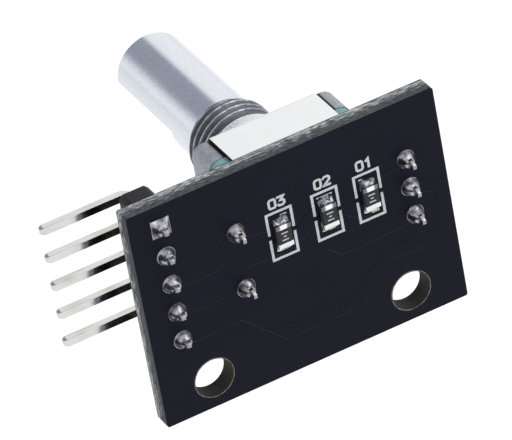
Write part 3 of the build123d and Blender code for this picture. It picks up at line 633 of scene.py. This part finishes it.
def joint(across, up, reach, neck, rise, square, seed, corners, faces, dark_reflection_marks):
    """One fillet: rings from the land up the lead, round or squarish, with frozen-in lumps."""
    first = len(corners)
    for ring in range(JOINT_RINGS + 1):
        share = ring / JOINT_RINGS
        swell = (1 - share) ** 1.25
        for k in range(JOINT_AROUND):
            angle = 2 * math.pi * k / JOINT_AROUND
            outline = 1.0
            if square:
                corner = 1 / max(abs(math.cos(angle)), abs(math.sin(angle)))
                outline += (corner - 1) * (1 - share) ** 1.2 * 0.95
            place = (1.1 * math.cos(angle) + seed, 1.1 * math.sin(angle), share * 1.3 + seed)
            lump = noise.noise(place)
            radius = (neck + (reach - neck) * swell) * outline
            radius *= 1 + LUMPS * lump * (0.12 + 2.6 * share * (1 - share))
            height = rise * (0.62 * share + 0.38 * math.sin(share * math.pi / 2))
            height *= 1 + TALLER * noise.noise((math.cos(angle), math.sin(angle) + seed, seed))
            if ring == JOINT_RINGS:
                radius *= TOP_CLOSES
            corners.append((across + radius * math.cos(angle), land_level + height,
                            up + radius * math.sin(angle)))
            # the painted dark reflection band, strongest on one side and fading towards the land
            off = min(abs(angle - REFLECTION_WAY), 2 * math.pi + REFLECTION_WAY - angle)
            streak = math.exp(-((off + REFLECTION_WANDER * lump) / REFLECTION_SPREAD) ** 2)
            dark_reflection_marks.append(streak * min(1.0, 5 * share))
    skin(first, JOINT_RINGS + 1, JOINT_AROUND, faces)
    faces.append(tuple(first + JOINT_RINGS * JOINT_AROUND + k for k in range(JOINT_AROUND)))
    # the barrel through the board, and the small collar on its front
    back = len(corners)
    profile = [
        (reach * 0.98, land_level),
        (BARREL, land_level - 0.02 * MM),
        (BARREL, board_front - 0.03 * MM),
        (COLLAR, board_front - 0.045 * MM),
        (0.56 * MM, board_front - 0.13 * MM),
        (0.30 * MM, board_front - 0.20 * MM),
    ]
    for radius, level in profile:
        for k in range(JOINT_AROUND):
            angle = 2 * math.pi * k / JOINT_AROUND
            corners.append((across + radius * math.cos(angle), level,
                            up + radius * math.sin(angle)))
            dark_reflection_marks.append(0.0)
    skin(back, len(profile), JOINT_AROUND, faces, reverse=True)
    last = back + (len(profile) - 1) * JOINT_AROUND
    faces.append(tuple(last + k for k in reversed(range(JOINT_AROUND))))


LAND_REACH, HEADER_NECK, HEADER_RISE = 0.755 * MM, 0.41 * MM, 0.72 * MM
TERMINAL_NECK, TERMINAL_RISE = 0.40 * MM, 0.80 * MM
header_places = [(header_column, up) for up in header_rows]
encoder_places = [(terminal_column, up) for up in terminal_rows]
encoder_places += [(switch_column, up) for up in switch_rows]
for name, node, places in (("header_joints", "header_solder", header_places),
                           ("encoder_joints", "encoder_solder", encoder_places)):
    on_header = name == "header_joints"
    neck, rise = (HEADER_NECK, HEADER_RISE) if on_header else (TERMINAL_NECK, TERMINAL_RISE)
    joint_corners, joint_faces, dark_reflection_marks = [], [], []
    for k, (across, up) in enumerate(places):
        # the header's first pin stands in a square land
        joint(across, up, LAND_REACH, neck, rise, on_header and k == 0,
              3.7 * k + (20 if on_header else 0), joint_corners, joint_faces, dark_reflection_marks)
    joints = piece_from(name, joint_corners, joint_faces, solder, marks=("painted_dark_reflection", dark_reflection_marks))
    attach(joints, "module")
    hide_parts(node)

# ---------------------------------------------------------------------------------------------
# Resistors: three size 0805 chips, white ceramic with a black glazed top, and tin-plated caps
# wrapped round both ends. Solder runs from each cap down to its land.
# ---------------------------------------------------------------------------------------------
glaze = Finish("chip_glaze", Specular_IOR_Level=0.3)
glaze_grain = glaze.grain(0.15 * MM, 3.0)
GLAZE_START, GLAZE_FULL = 8.60 * MM, 8.63 * MM
on_top = glaze.along("Y").step(GLAZE_START, GLAZE_FULL)
side_tone = glaze.tint((0.020, 0.020, 0.023), (0.06, 0.06, 0.065), glaze_grain)
top_tone = glaze.tint((0.007, 0.007, 0.008), (0.018, 0.018, 0.020), glaze_grain)
glaze.set(
    Base_Color=glaze.tint(side_tone, top_tone, on_top),
    Roughness=0.38 + 0.25 * glaze_grain,
)
glaze.relief(glaze_grain, 0.012 * MM)

cap_tin = Finish("cap_tin", Metallic=1.0)
cap_grain = cap_tin.grain(0.12 * MM, 4.0)
# the chips stand upright; above this height lie their upper ends
MIDDLE_LOW, MIDDLE_HIGH = 0.6 * MM, 1.0 * MM
cap_above = cap_tin.along("Z").step(MIDDLE_LOW, MIDDLE_HIGH)
# painted light: the upper caps are painted shaded, but for a painted highlight down their middle,
# and the lower caps are painted lit
painted_highlight_midline = 0.0
for place in chip_places.values():
    from_middle = (cap_tin.along("X") - place.x).size()
    painted_highlight_midline = painted_highlight_midline + (1.0 - from_middle.step(0.12 * MM, 0.50 * MM))
shaded_upper_cap = cap_tin.tint((0.16, 0.16, 0.18), (0.86, 0.86, 0.87),
                        (cap_grain * 0.5 + painted_highlight_midline * 0.62).step(0.35, 0.80))
lit_lower_cap = cap_tin.tint((0.60, 0.60, 0.61), (0.88, 0.88, 0.88), cap_grain)
cap_tin.set(
    Base_Color=cap_tin.tint(lit_lower_cap, shaded_upper_cap, cap_above),
    Roughness=0.2 + 0.3 * cap_grain,
)
cap_tin.relief(cap_grain, 0.03 * MM)

mark_ink = Finish("mark_ink", Specular_IOR_Level=0.3)
mark_grain = mark_ink.grain(0.08 * MM, 3.0)
mark_ink.set(
    Base_Color=mark_ink.tint((0.30, 0.30, 0.30), (0.62, 0.62, 0.62), mark_grain),
    Roughness=0.5 + 0.2 * mark_grain,
)
mark_ink.relief(mark_grain, 0.006 * MM)

# Each chip carries printed marks on its glaze: two bars with a short dash between them.
MARK_LINE, BAR_HALF, DASH_HALF, BAR_OFFSET = 0.10 * MM, 0.24 * MM, 0.09 * MM, 0.30 * MM
for number, place in chip_places.items():
    body = eased(f"resistor_{number}_body", f"resistor_{number}_chip", 0.035 * MM, glaze)
    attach(body, "module")
    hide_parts(f"resistor_{number}_body")
    caps = eased(f"resistor_{number}_caps", f"resistor_{number}_ends", 0.05 * MM, cap_tin,
                 segments=3)
    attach(caps, "module")
    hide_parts(f"resistor_{number}_caps")
    chip_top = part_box(f"resistor_{number}_body")[1][1] + 0.004 * MM
    mark_corners, mark_faces = [], []
    for offset, half in ((BAR_OFFSET, BAR_HALF), (0.0, DASH_HALF), (-BAR_OFFSET, BAR_HALF)):
        stroke = [(place.x + half, place.z + offset), (place.x - half, place.z + offset)]
        ink_line(stroke, MARK_LINE, chip_top, mark_corners, mark_faces, rng)
    marks = piece_from(f"resistor_{number}_marks", mark_corners, mark_faces, mark_ink,
                       smooth=False)
    face_rear(marks)
    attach(marks, "module")

# The fillets: a concave slope of solder at each end of each chip, with a skirt that closes it.
FILLET_COLUMNS, FILLET_ROWS = 15, 8
FILLET_WIDTH, FILLET_START, FILLET_RUN, FILLET_RISE = 1.30 * MM, 1.0 * MM, 0.60 * MM, 0.40 * MM
SKIRT_START, SKIRT_DROP, FILLET_DROP = 0.95 * MM, 0.02 * MM, 0.015 * MM
wedge_corners, wedge_faces = [], []
chip_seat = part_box("resistor_1_caps")[0][1]
for place in chip_places.values():
    for side in (1, -1):
        first = len(wedge_corners)
        for c in range(FILLET_COLUMNS):
            share = c / (FILLET_COLUMNS - 1)
            sideways = (share - 0.5) * FILLET_WIDTH
            fullness = 1 - abs(2 * share - 1) ** 4
            for r in range(FILLET_ROWS):
                run = r / (FILLET_ROWS - 1)
                out = FILLET_START + FILLET_RUN * run * (0.86 + 0.14 * fullness)
                rise = FILLET_RISE * (1 - run) ** 1.8 * (0.72 + 0.28 * fullness)
                rise *= 1 + 0.25 * noise.noise((share * 3 + place.x * 400, run * 2, side * 3.1))
                wedge_corners.append((place.x + sideways, chip_seat - FILLET_DROP + rise,
                                      place.z + side * out))
        for c in range(FILLET_COLUMNS - 1):
            for r in range(FILLET_ROWS - 1):
                a = first + c * FILLET_ROWS + r
                wedge_faces.append((a, a + 1, a + FILLET_ROWS + 1, a + FILLET_ROWS))
        skirt = len(wedge_corners)
        for c in range(FILLET_COLUMNS):
            sideways = (c / (FILLET_COLUMNS - 1) - 0.5) * FILLET_WIDTH
            wedge_corners.append((place.x + sideways, chip_seat - SKIRT_DROP,
                                  place.z + side * SKIRT_START))
        for c in range(FILLET_COLUMNS - 1):
            a = first + c * FILLET_ROWS
            foot = a + FILLET_ROWS - 1
            wedge_faces.append((a, a + FILLET_ROWS, skirt + c + 1, skirt + c))
            wedge_faces.append((foot, skirt + c, skirt + c + 1, foot + FILLET_ROWS))
        last = first + (FILLET_COLUMNS - 1) * FILLET_ROWS
        wedge_faces.append((*range(first, first + FILLET_ROWS), skirt))
        wedge_faces.append((*range(last, last + FILLET_ROWS), skirt + FILLET_COLUMNS - 1))
bright_solder = Finish("bright_solder", Metallic=1.0)
flow_lines = bright_solder.grain(0.22 * MM, 3.0)
# painted light: the upper fillets are painted shaded and the lower ones painted lit
upper_end = bright_solder.along("Z").step(MIDDLE_LOW, MIDDLE_HIGH)
shaded_upper_fillet = bright_solder.tint((0.05, 0.05, 0.065), (0.24, 0.24, 0.26),
                              flow_lines.step(0.38, 0.66))
lit_lower_fillet = bright_solder.tint((0.50, 0.50, 0.52), (0.88, 0.88, 0.88),
                                flow_lines.step(0.3, 0.6))
bright_solder.set(
    Base_Color=bright_solder.tint(lit_lower_fillet, shaded_upper_fillet, upper_end),
    Roughness=0.20 + 0.18 * flow_lines,
)
bright_solder.relief(flow_lines, 0.03 * MM)
chip_fillets = piece_from("chip_fillets", wedge_corners, wedge_faces, bright_solder)
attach(chip_fillets, "module")
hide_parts("resistor_solder")

# ---------------------------------------------------------------------------------------------
# Mounting strap: bright plated sheet steel, 0.35 mm thick, pressed round the front and both sides
# of the body. Its cut edges are painted near black, a painted shade.
# ---------------------------------------------------------------------------------------------
strap_steel = Finish("strap_steel", Metallic=1.0)
rolled = strap_steel.grain(0.06 * MM, 3.0, stretch=(18, 1, 1))
patch = strap_steel.grain(2.4 * MM, 3.0)
STRAP_FACE, STRAP_EDGE = 4.525 * MM, 4.548 * MM
# painted shade: the cut edges of the strap are painted near black, for the shadow and dark
# reflection on them
painted_edge_shade = strap_steel.along("X").size().step(STRAP_FACE, STRAP_EDGE)
face_tone = strap_steel.tint((0.80, 0.81, 0.80), (0.93, 0.94, 0.93), patch * 0.7 + rolled * 0.3)
strap_steel.set(
    Base_Color=strap_steel.tint(face_tone, (0.020, 0.020, 0.022), painted_edge_shade),
    Roughness=0.26 + 0.10 * rolled + 0.10 * patch + 0.2 * painted_edge_shade,
)
strap_steel.relief(rolled, 0.004 * MM)
strap = eased("mounting_strap", "strap", 0.035 * MM, strap_steel, angle=40.0)
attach(strap, "module")
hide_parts("mounting_strap")

# ---------------------------------------------------------------------------------------------
# Housing and bushing: one zinc die casting. The skin is granular and pale; the end of the bushing
# is machined with an M7 x 0.75 thread. Its flanks are painted dark, a painted reflection, and its
# crests and rim are painted bright, a painted highlight.
# ---------------------------------------------------------------------------------------------
cast_zinc = Finish("cast_zinc", Metallic=0.85)
crust = cast_zinc.cells(0.16 * MM)
shade = cast_zinc.grain(0.6 * MM, 4.0)
body_tone = cast_zinc.tint((0.17, 0.19, 0.22), (0.54, 0.56, 0.59), crust * 0.4 + shade * 0.6)
neck_tone = cast_zinc.tint((0.42, 0.44, 0.47), (0.82, 0.83, 0.84),
                           crust.step(0.1, 0.6) * 0.6 + shade * 0.4)
on_body = cast_zinc.along("Y").step(-0.3 * MM, 0.0)
cast_tone = cast_zinc.tint(neck_tone, body_tone, on_body)
# painted shade: a dark strip on the casting along each edge of the strap, for the shadow in the
# gap between them
beside_strap = (cast_zinc.along("X") + 0.12 * MM).size()
seam_starts = beside_strap.step(4.45 * MM, 4.56 * MM)
seam_ends = beside_strap.step(4.78 * MM, 4.86 * MM)
painted_seam_shade = on_body * seam_starts * (1.0 - seam_ends)
cast_zinc.set(
    Base_Color=cast_zinc.tint(cast_tone, (0.03, 0.03, 0.035), painted_seam_shade),
    Roughness=0.48 + 0.2 * shade,
)
cast_zinc.relief(crust * 0.6 + shade * 0.4, 0.05 * MM)

machined_zinc = Finish("machined_zinc", Metallic=0.9)
tool_marks = machined_zinc.grain(0.05 * MM, 3.0, stretch=(4, 0.6, 4))
tarnish = machined_zinc.grain(0.4 * MM, 3.0)
# painted highlight: the crest is painted as a bright line, and the flanks painted dark, a painted
# reflection
crest_highlight_mask = machined_zinc.node("ShaderNodeAttribute", {"attribute_name": "crest_highlight"}, {},
                              output="Fac")
dark_flank_reflection = machined_zinc.tint((0.045, 0.05, 0.06), (0.20, 0.21, 0.235),
                           tarnish * 0.6 + tool_marks * 0.4)
machined_zinc.set(
    Base_Color=machined_zinc.tint(dark_flank_reflection, (0.42, 0.44, 0.46),
                                  crest_highlight_mask * (0.45 + 0.55 * tarnish.step(0.35, 0.6))),
    Roughness=0.34 + 0.2 * tool_marks,
)
machined_zinc.relief(tool_marks, 0.012 * MM)

# The housing is the casting behind the seat plane; the bushing ahead of it is made below.
SEAT_CUT = -0.02 * MM
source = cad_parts["bushing_housing"].data.copy()
block = bmesh.new()
block.from_mesh(source)
bmesh.ops.remove_doubles(block, verts=block.verts, dist=WELD)
bmesh.ops.bisect_plane(block, geom=block.verts[:] + block.edges[:] + block.faces[:], dist=1e-7,
                       plane_co=(0, SEAT_CUT, 0), plane_no=(0, -1, 0), clear_outer=True)
bmesh.ops.dissolve_limit(block, angle_limit=FLAT_ANGLE, verts=block.verts, edges=block.edges,
                         use_dissolve_boundaries=False)
block.to_mesh(source)
block.free()
source.materials.clear()
source.materials.append(cast_zinc.material)
source.shade_smooth()
source.set_sharp_from_angle(angle=math.radians(35))
housing = shown("housing", source)
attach(housing, "module")
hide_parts("bushing_housing")

# The bushing: rings set close together over the thread and wider apart over the cast neck.
THREAD_PITCH, THREAD_DEPTH, THREAD_LENGTH = 0.75 * MM, 0.40 * MM, 3.1 * MM
CREST_RADIUS, BORE_RADIUS, LEAD_IN, COUNTERSINK = 3.5 * MM, 2.53 * MM, 0.2 * MM, 0.15 * MM
RINGS_PER_TURN, AROUND, NECK_STEP = 18, 144, 0.12 * MM
bushing_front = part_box("bushing_housing")[0][1]
thread_rings = int(THREAD_LENGTH / THREAD_PITCH * RINGS_PER_TURN) + 8
levels = [bushing_front + THREAD_PITCH / RINGS_PER_TURN * k for k in range(thread_rings)]
levels += [levels[-1] + NECK_STEP * k for k in range(1, 28) if levels[-1] + NECK_STEP * k < 0.0]
levels.append(0.0)
thread_corners, thread_faces, crest_highlights = [], [], []
for level in levels:
    run = level - bushing_front
    # the groove runs out over half a turn before the neck
    fade = min(1.0, max(0.0, (THREAD_LENGTH - run) / (0.5 * THREAD_PITCH)))
    lead_in = CREST_RADIUS - LEAD_IN + run
    for k in range(AROUND):
        angle = 2 * math.pi * k / AROUND
        phase = (run / THREAD_PITCH + angle / (2 * math.pi) - 0.13) % 1.0
        groove = min(1.0, max(0.0, (0.44 - abs(phase - 0.5)) / 0.36))
        radius = CREST_RADIUS - THREAD_DEPTH * groove * fade
        # painted highlight along the crest of the thread, and round the lead-in rim below
        crest_highlight = 1.0 if (groove < 0.12 and run < 2.6 * MM) else 0.0
        if lead_in < radius:
            radius = lead_in
            crest_highlight = 0.9 if run < 0.06 * MM else 0.0
        if run > THREAD_LENGTH:
            radius -= 0.012 * MM * abs(noise.noise((60 * angle / 6.283, level * 9000, 0.0)))
        thread_corners.append((radius * math.cos(angle), level, radius * math.sin(angle)))
        crest_highlights.append(crest_highlight)
rings = len(levels)
skin(0, rings, AROUND, thread_faces)
# the bore, with a small countersink at its mouth, whose edge is painted bright, a painted
# highlight
bore = len(thread_corners)
for radius, level, crest_highlight in ((BORE_RADIUS + COUNTERSINK, bushing_front, 0.75),
                             (BORE_RADIUS, bushing_front + COUNTERSINK, 0.0),
                             (BORE_RADIUS, 0.0, 0.0)):
    for k in range(AROUND):
        angle = 2 * math.pi * k / AROUND
        thread_corners.append((radius * math.cos(angle), level, radius * math.sin(angle)))
        crest_highlights.append(crest_highlight)
skin(bore, 3, AROUND, thread_faces, reverse=True)
neck_end, bore_end = (rings - 1) * AROUND, bore + 2 * AROUND
for k in range(AROUND):
    beside = (k + 1) % AROUND
    thread_faces.append((k, bore + k, bore + beside, beside))
    thread_faces.append((neck_end + k, neck_end + beside, bore_end + beside, bore_end + k))
mesh = bpy.data.meshes.new("bushing")
mesh.from_pydata(thread_corners, [], thread_faces)
layer = mesh.attributes.new("crest_highlight", "FLOAT", "POINT")
layer.data.foreach_set("value", crest_highlights)
tidy = bmesh.new()
tidy.from_mesh(mesh)
bmesh.ops.recalc_face_normals(tidy, faces=tidy.faces)
tidy.to_mesh(mesh)
tidy.free()
mesh.materials.append(machined_zinc.material)
mesh.materials.append(cast_zinc.material)
mesh.shade_smooth()
mesh.set_sharp_from_angle(angle=math.radians(60))
for face in mesh.polygons:
    on_outside = math.hypot(face.center.x, face.center.z) > 3 * MM
    if face.center.y - bushing_front > THREAD_LENGTH + 0.05 * MM and on_outside:
        face.material_index = 1
bushing = shown("bushing", mesh)
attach(bushing, "module")

# ---------------------------------------------------------------------------------------------
# Terminal base: glass-filled teal plastic, moulded round the five terminals. It closes the back of
# the housing, and the claws of the strap are bent over it.
# ---------------------------------------------------------------------------------------------
teal_plastic = Finish("teal_plastic", Specular_IOR_Level=0.45)
fibre = teal_plastic.grain(0.07 * MM, 3.0, stretch=(3, 1, 1))
mottle = teal_plastic.grain(1.2 * MM, 3.0)
teal_plastic.set(
    Base_Color=teal_plastic.tint((0.08, 0.22, 0.24), (0.22, 0.40, 0.42),
                                 mottle * 0.6 + fibre * 0.4),
    Roughness=0.42 + 0.2 * fibre,
)
teal_plastic.relief(fibre, 0.01 * MM)
base_moulding = eased("terminal_base", "base_moulding", 0.05 * MM, teal_plastic, angle=40.0)
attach(base_moulding, "module")
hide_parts("terminal_base")

# ---------------------------------------------------------------------------------------------
# Terminals: stamped brass strip with a silver flash. Each leg passes through the board, and its
# cut end stands out of the joint as a narrow blade.
# ---------------------------------------------------------------------------------------------
silvered = Finish("silvered", Metallic=1.0)
stamped = silvered.grain(0.08 * MM, 3.0, stretch=(1, 6, 1))
tone = silvered.grain(0.5 * MM, 2.0)
silvered.set(
    Base_Color=silvered.tint((0.14, 0.14, 0.15), (0.48, 0.47, 0.47), tone * 0.6 + stamped * 0.4),
    Roughness=0.2 + 0.22 * stamped,
)
silvered.relief(stamped, 0.01 * MM)
for node in ("terminal_a", "terminal_common", "terminal_b", "switch_rim_terminal",
             "switch_centre_terminal"):
    leg = eased(node, node + "_blade", 0.035 * MM, silvered)
    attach(leg, "module")
    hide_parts(node)

# ---------------------------------------------------------------------------------------------
# Inside the body: the snap dome and its black carrier, the bronze click spring, the white rotor
# with its silvered code disc, the retaining ring and the plunger under the shaft.
# ---------------------------------------------------------------------------------------------
spring_steel = Finish("spring_steel", Metallic=1.0)
mill = spring_steel.grain(0.07 * MM, 3.0, stretch=(8, 1, 1))
spring_steel.set(
    Base_Color=spring_steel.tint((0.50, 0.50, 0.51), (0.74, 0.74, 0.75), mill),
    Roughness=0.22 + 0.2 * mill,
)
spring_steel.relief(mill, 0.004 * MM)
coat("retaining_ring", spring_steel)

# The dome snaps flat on the switch base when the shaft is pushed.
snap_dome = eased("switch_dome", "snap_dome", 0.01 * MM, spring_steel, segments=1, angle=50.0)
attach(snap_dome, "module")
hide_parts("switch_dome")
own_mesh(snap_dome)

spring_bronze = Finish("spring_bronze", Metallic=1.0)
roll = spring_bronze.grain(0.07 * MM, 3.0, stretch=(1, 1, 8))
spring_bronze.set(
    Base_Color=spring_bronze.tint((0.52, 0.31, 0.16), (0.78, 0.52, 0.30), roll),
    Roughness=0.25 + 0.2 * roll,
)
spring_bronze.relief(roll, 0.004 * MM)
coat("click_spring", spring_bronze)

acetal = Finish("acetal", Specular_IOR_Level=0.45)
gate = acetal.grain(0.8 * MM, 3.0)
fine = acetal.grain(0.06 * MM, 2.0)
acetal.set(
    Base_Color=acetal.tint((0.62, 0.60, 0.53), (0.80, 0.79, 0.74), gate),
    Roughness=0.38 + 0.2 * fine,
)
acetal.relief(fine, 0.006 * MM)
coat("rotor", acetal)
coat("switch_plunger", acetal)
coat("switch_base", header_plastic)
coat("code_disc", silvered)

# ---------------------------------------------------------------------------------------------
# Shaft: 6 mm aluminium bar, turned to a fine satin finish and milled flat on one side of the knob
# end. Its neck passes through the bushing and is held there by the retaining ring.
# ---------------------------------------------------------------------------------------------
turned = Finish("turned_aluminium", Metallic=1.0)
lathe = turned.grain(0.035 * MM, 3.0, stretch=(60, 1, 60))
pitted = turned.grain(0.16 * MM, 4.0)
handled = turned.grain(2.2 * MM, 3.0, stretch=(1, 1.8, 1))
pinhole = turned.grain(0.10 * MM, 2.0).step(0.60, 0.74)
bare = turned.tint((0.60, 0.63, 0.68), (0.74, 0.77, 0.81),
                   handled * 0.35 + lathe * 0.15 + pitted.step(0.3, 0.7) * 0.5)
turned.set(
    Base_Color=turned.tint(bare, (0.44, 0.46, 0.50), pinhole * 0.7),
    Roughness=0.13 + 0.06 * lathe + 0.10 * pitted + 0.04 * handled,
)
turned.relief(lathe * 0.4 + pitted * 0.6, 0.006 * MM)

# The bar ahead of the neck, turned as rings; the milled flat cuts each ring short on one side.
shaft_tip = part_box("shaft")[0][1]
SHAFT_RADIUS, TIP_CHAMFER, HEAD_RUN = 3.0 * MM, 0.2 * MM, 12.4 * MM
FLAT_DISTANCE, FLAT_RUN, FLAT_TURN = 1.5 * MM, 9.3 * MM, math.radians(180 - 241.7)
SHAFT_AROUND, RING_STEP, FLAT_STEP = 96, 0.5 * MM, 0.01 * MM
runs = [0.0, 0.3 * TIP_CHAMFER, 0.75 * TIP_CHAMFER, TIP_CHAMFER, 1.15 * TIP_CHAMFER]
runs += [RING_STEP * k for k in range(1, 19)]
runs += [FLAT_RUN - FLAT_STEP, FLAT_RUN, FLAT_RUN + FLAT_STEP]
runs += [RING_STEP * k for k in range(19, 25)] + [HEAD_RUN]
bar_corners, bar_faces = [], []
for run in runs:
    rim = SHAFT_RADIUS - max(0.0, TIP_CHAMFER - run) * 0.9
    for k in range(SHAFT_AROUND):
        angle = 2 * math.pi * k / SHAFT_AROUND
        toward_flat = math.cos(angle - FLAT_TURN)
        radius = rim
        if run < FLAT_RUN and toward_flat * rim > FLAT_DISTANCE:
            radius = FLAT_DISTANCE / toward_flat
        bar_corners.append((radius * math.cos(angle), shaft_tip + run, radius * math.sin(angle)))
skin(0, len(runs), SHAFT_AROUND, bar_faces)
bar_faces.append(tuple(reversed(range(SHAFT_AROUND))))
bar_faces.append(tuple((len(runs) - 1) * SHAFT_AROUND + k for k in range(SHAFT_AROUND)))
shaft_bar = piece_from("shaft_bar", bar_corners, bar_faces, turned)
shaft_bar.data.set_sharp_from_angle(angle=math.radians(35))
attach(shaft_bar, "shaft")

# The neck inside the bushing, with its ring groove, drive flats and nose.
shaft_neck = eased("shaft", "shaft_neck", 0.04 * MM, turned, angle=40.0)
inner = bmesh.new()
inner.from_mesh(shaft_neck.data)
neck_start = shaft_tip + HEAD_RUN + 0.05 * MM
cut = bmesh.ops.bisect_plane(inner, geom=inner.verts[:] + inner.edges[:] + inner.faces[:],
                             dist=1e-7, plane_co=(0, neck_start, 0), plane_no=(0, -1, 0),
                             clear_outer=True)
rim_edges = [edge for edge in cut["geom_cut"] if isinstance(edge, bmesh.types.BMEdge)]
bmesh.ops.edgenet_fill(inner, edges=rim_edges)
bmesh.ops.recalc_face_normals(inner, faces=inner.faces)
inner.to_mesh(shaft_neck.data)
inner.free()
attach(shaft_neck, "shaft")
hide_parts("shaft")

# ---------------------------------------------------------------------------------------------
# Studio: a plain white paper floor under a white tent, lit by one soft key light.
# A cool grey opening overhead and a dark patch behind the lens give the metal its dark bands.
# ---------------------------------------------------------------------------------------------
FLOOR_HEIGHT, FLOOR_REACH = -42 * MM, 3
paper = Finish("paper", Roughness=0.9, Specular_IOR_Level=0.1)
paper.set(Base_Color=paper.tint((0.955, 0.955, 0.955), (0.975, 0.975, 0.975),
                                paper.grain(40 * MM, 2.0)))
floor_corners = [(FLOOR_REACH * x, FLOOR_REACH * y, FLOOR_HEIGHT)
                 for x, y in ((-1, -1), (1, -1), (1, 1), (-1, 1))]
floor = bpy.data.meshes.new("floor")
floor.from_pydata(floor_corners, [], [(0, 1, 2, 3)])
floor.materials.append(paper.material)
shown("floor", floor)

world = bpy.data.worlds.new("tent")
world.use_nodes = True
bpy.context.scene.world = world
tent = Graph(world.node_tree)
tent.tree.nodes.clear()
looking = tent.node("ShaderNodeTexCoord", {}, {}, output="Generated")
facing = tent.node("ShaderNodeVectorMath", {"operation": "DOT_PRODUCT"},
                   {0: looking, 1: (0.22, -0.77, 0.60)}, output="Value")
sideways = tent.node("ShaderNodeVectorMath", {"operation": "DOT_PRODUCT"},
                     {0: looking, 1: (-0.939, 0.0, 0.344)}, output="Value")
opening = facing.step(math.cos(math.radians(50)), math.cos(math.radians(32)))
opening = opening * sideways.step(-0.56, -0.24) * (1.0 - sideways.step(0.37, 0.43))
room = tent.node("ShaderNodeVectorMath", {"operation": "DOT_PRODUCT"},
                 {0: looking, 1: (0.3125, 0.770, 0.556)}, output="Value")
behind_lens = room.step(math.cos(math.radians(28)), math.cos(math.radians(12)))
TENT, OPENING_LOSS, LENS_LOSS = 1.14, 0.74, 0.95
light = TENT - OPENING_LOSS * opening - LENS_LOSS * behind_lens
cool = tent.node("ShaderNodeMix", {"data_type": "RGBA"},
                 {0: opening, 6: (1.0, 1.0, 1.0, 1.0), 7: (0.96, 0.99, 1.16, 1.0)}, output=2)
background = tent.node("ShaderNodeBackground", {}, {"Color": cool, "Strength": light})
end = tent.tree.nodes.new("ShaderNodeOutputWorld")
tent.tree.links.new(background.socket, end.inputs["Surface"])


def softbox(name, place, size, power):
    """A square area light that faces the encoder."""
    lamp = bpy.data.lights.new(name, "AREA")
    lamp.size = size
    lamp.energy = power
    made = shown(name, lamp)
    made.location = place
    made.rotation_euler = (-Vector(place)).to_track_quat("-Z", "Y").to_euler()


softbox("key", (-0.25, 0.25, 0.45), 0.30, 1.2)

# Camera: a long lens, turned a little about its own axis.
AIM = Vector((1.125, -1.913, -4.438)) * MM
DISTANCE, AZIMUTH, ELEVATION, ROLL = 518.1 * MM, 22.09, 33.79, -10.86
out = Vector((
    math.sin(math.radians(AZIMUTH)) * math.cos(math.radians(ELEVATION)),
    math.cos(math.radians(AZIMUTH)) * math.cos(math.radians(ELEVATION)),
    math.sin(math.radians(ELEVATION)),
))
lens = bpy.data.cameras.new("camera")
lens.sensor_width = 36.0
lens.lens = 480.3
lens.clip_start = 0.01
lens.clip_end = 20.0
camera = shown("camera", lens)
upright = (-out).to_track_quat("-Z", "Y").to_matrix()
rolled_view = upright @ Matrix.Rotation(math.radians(ROLL), 3, "Z")
camera.matrix_world = Matrix.Translation(AIM + out * DISTANCE) @ rolled_view.to_4x4()
bpy.context.scene.camera = camera
bpy.context.scene.view_settings.view_transform = "Standard"
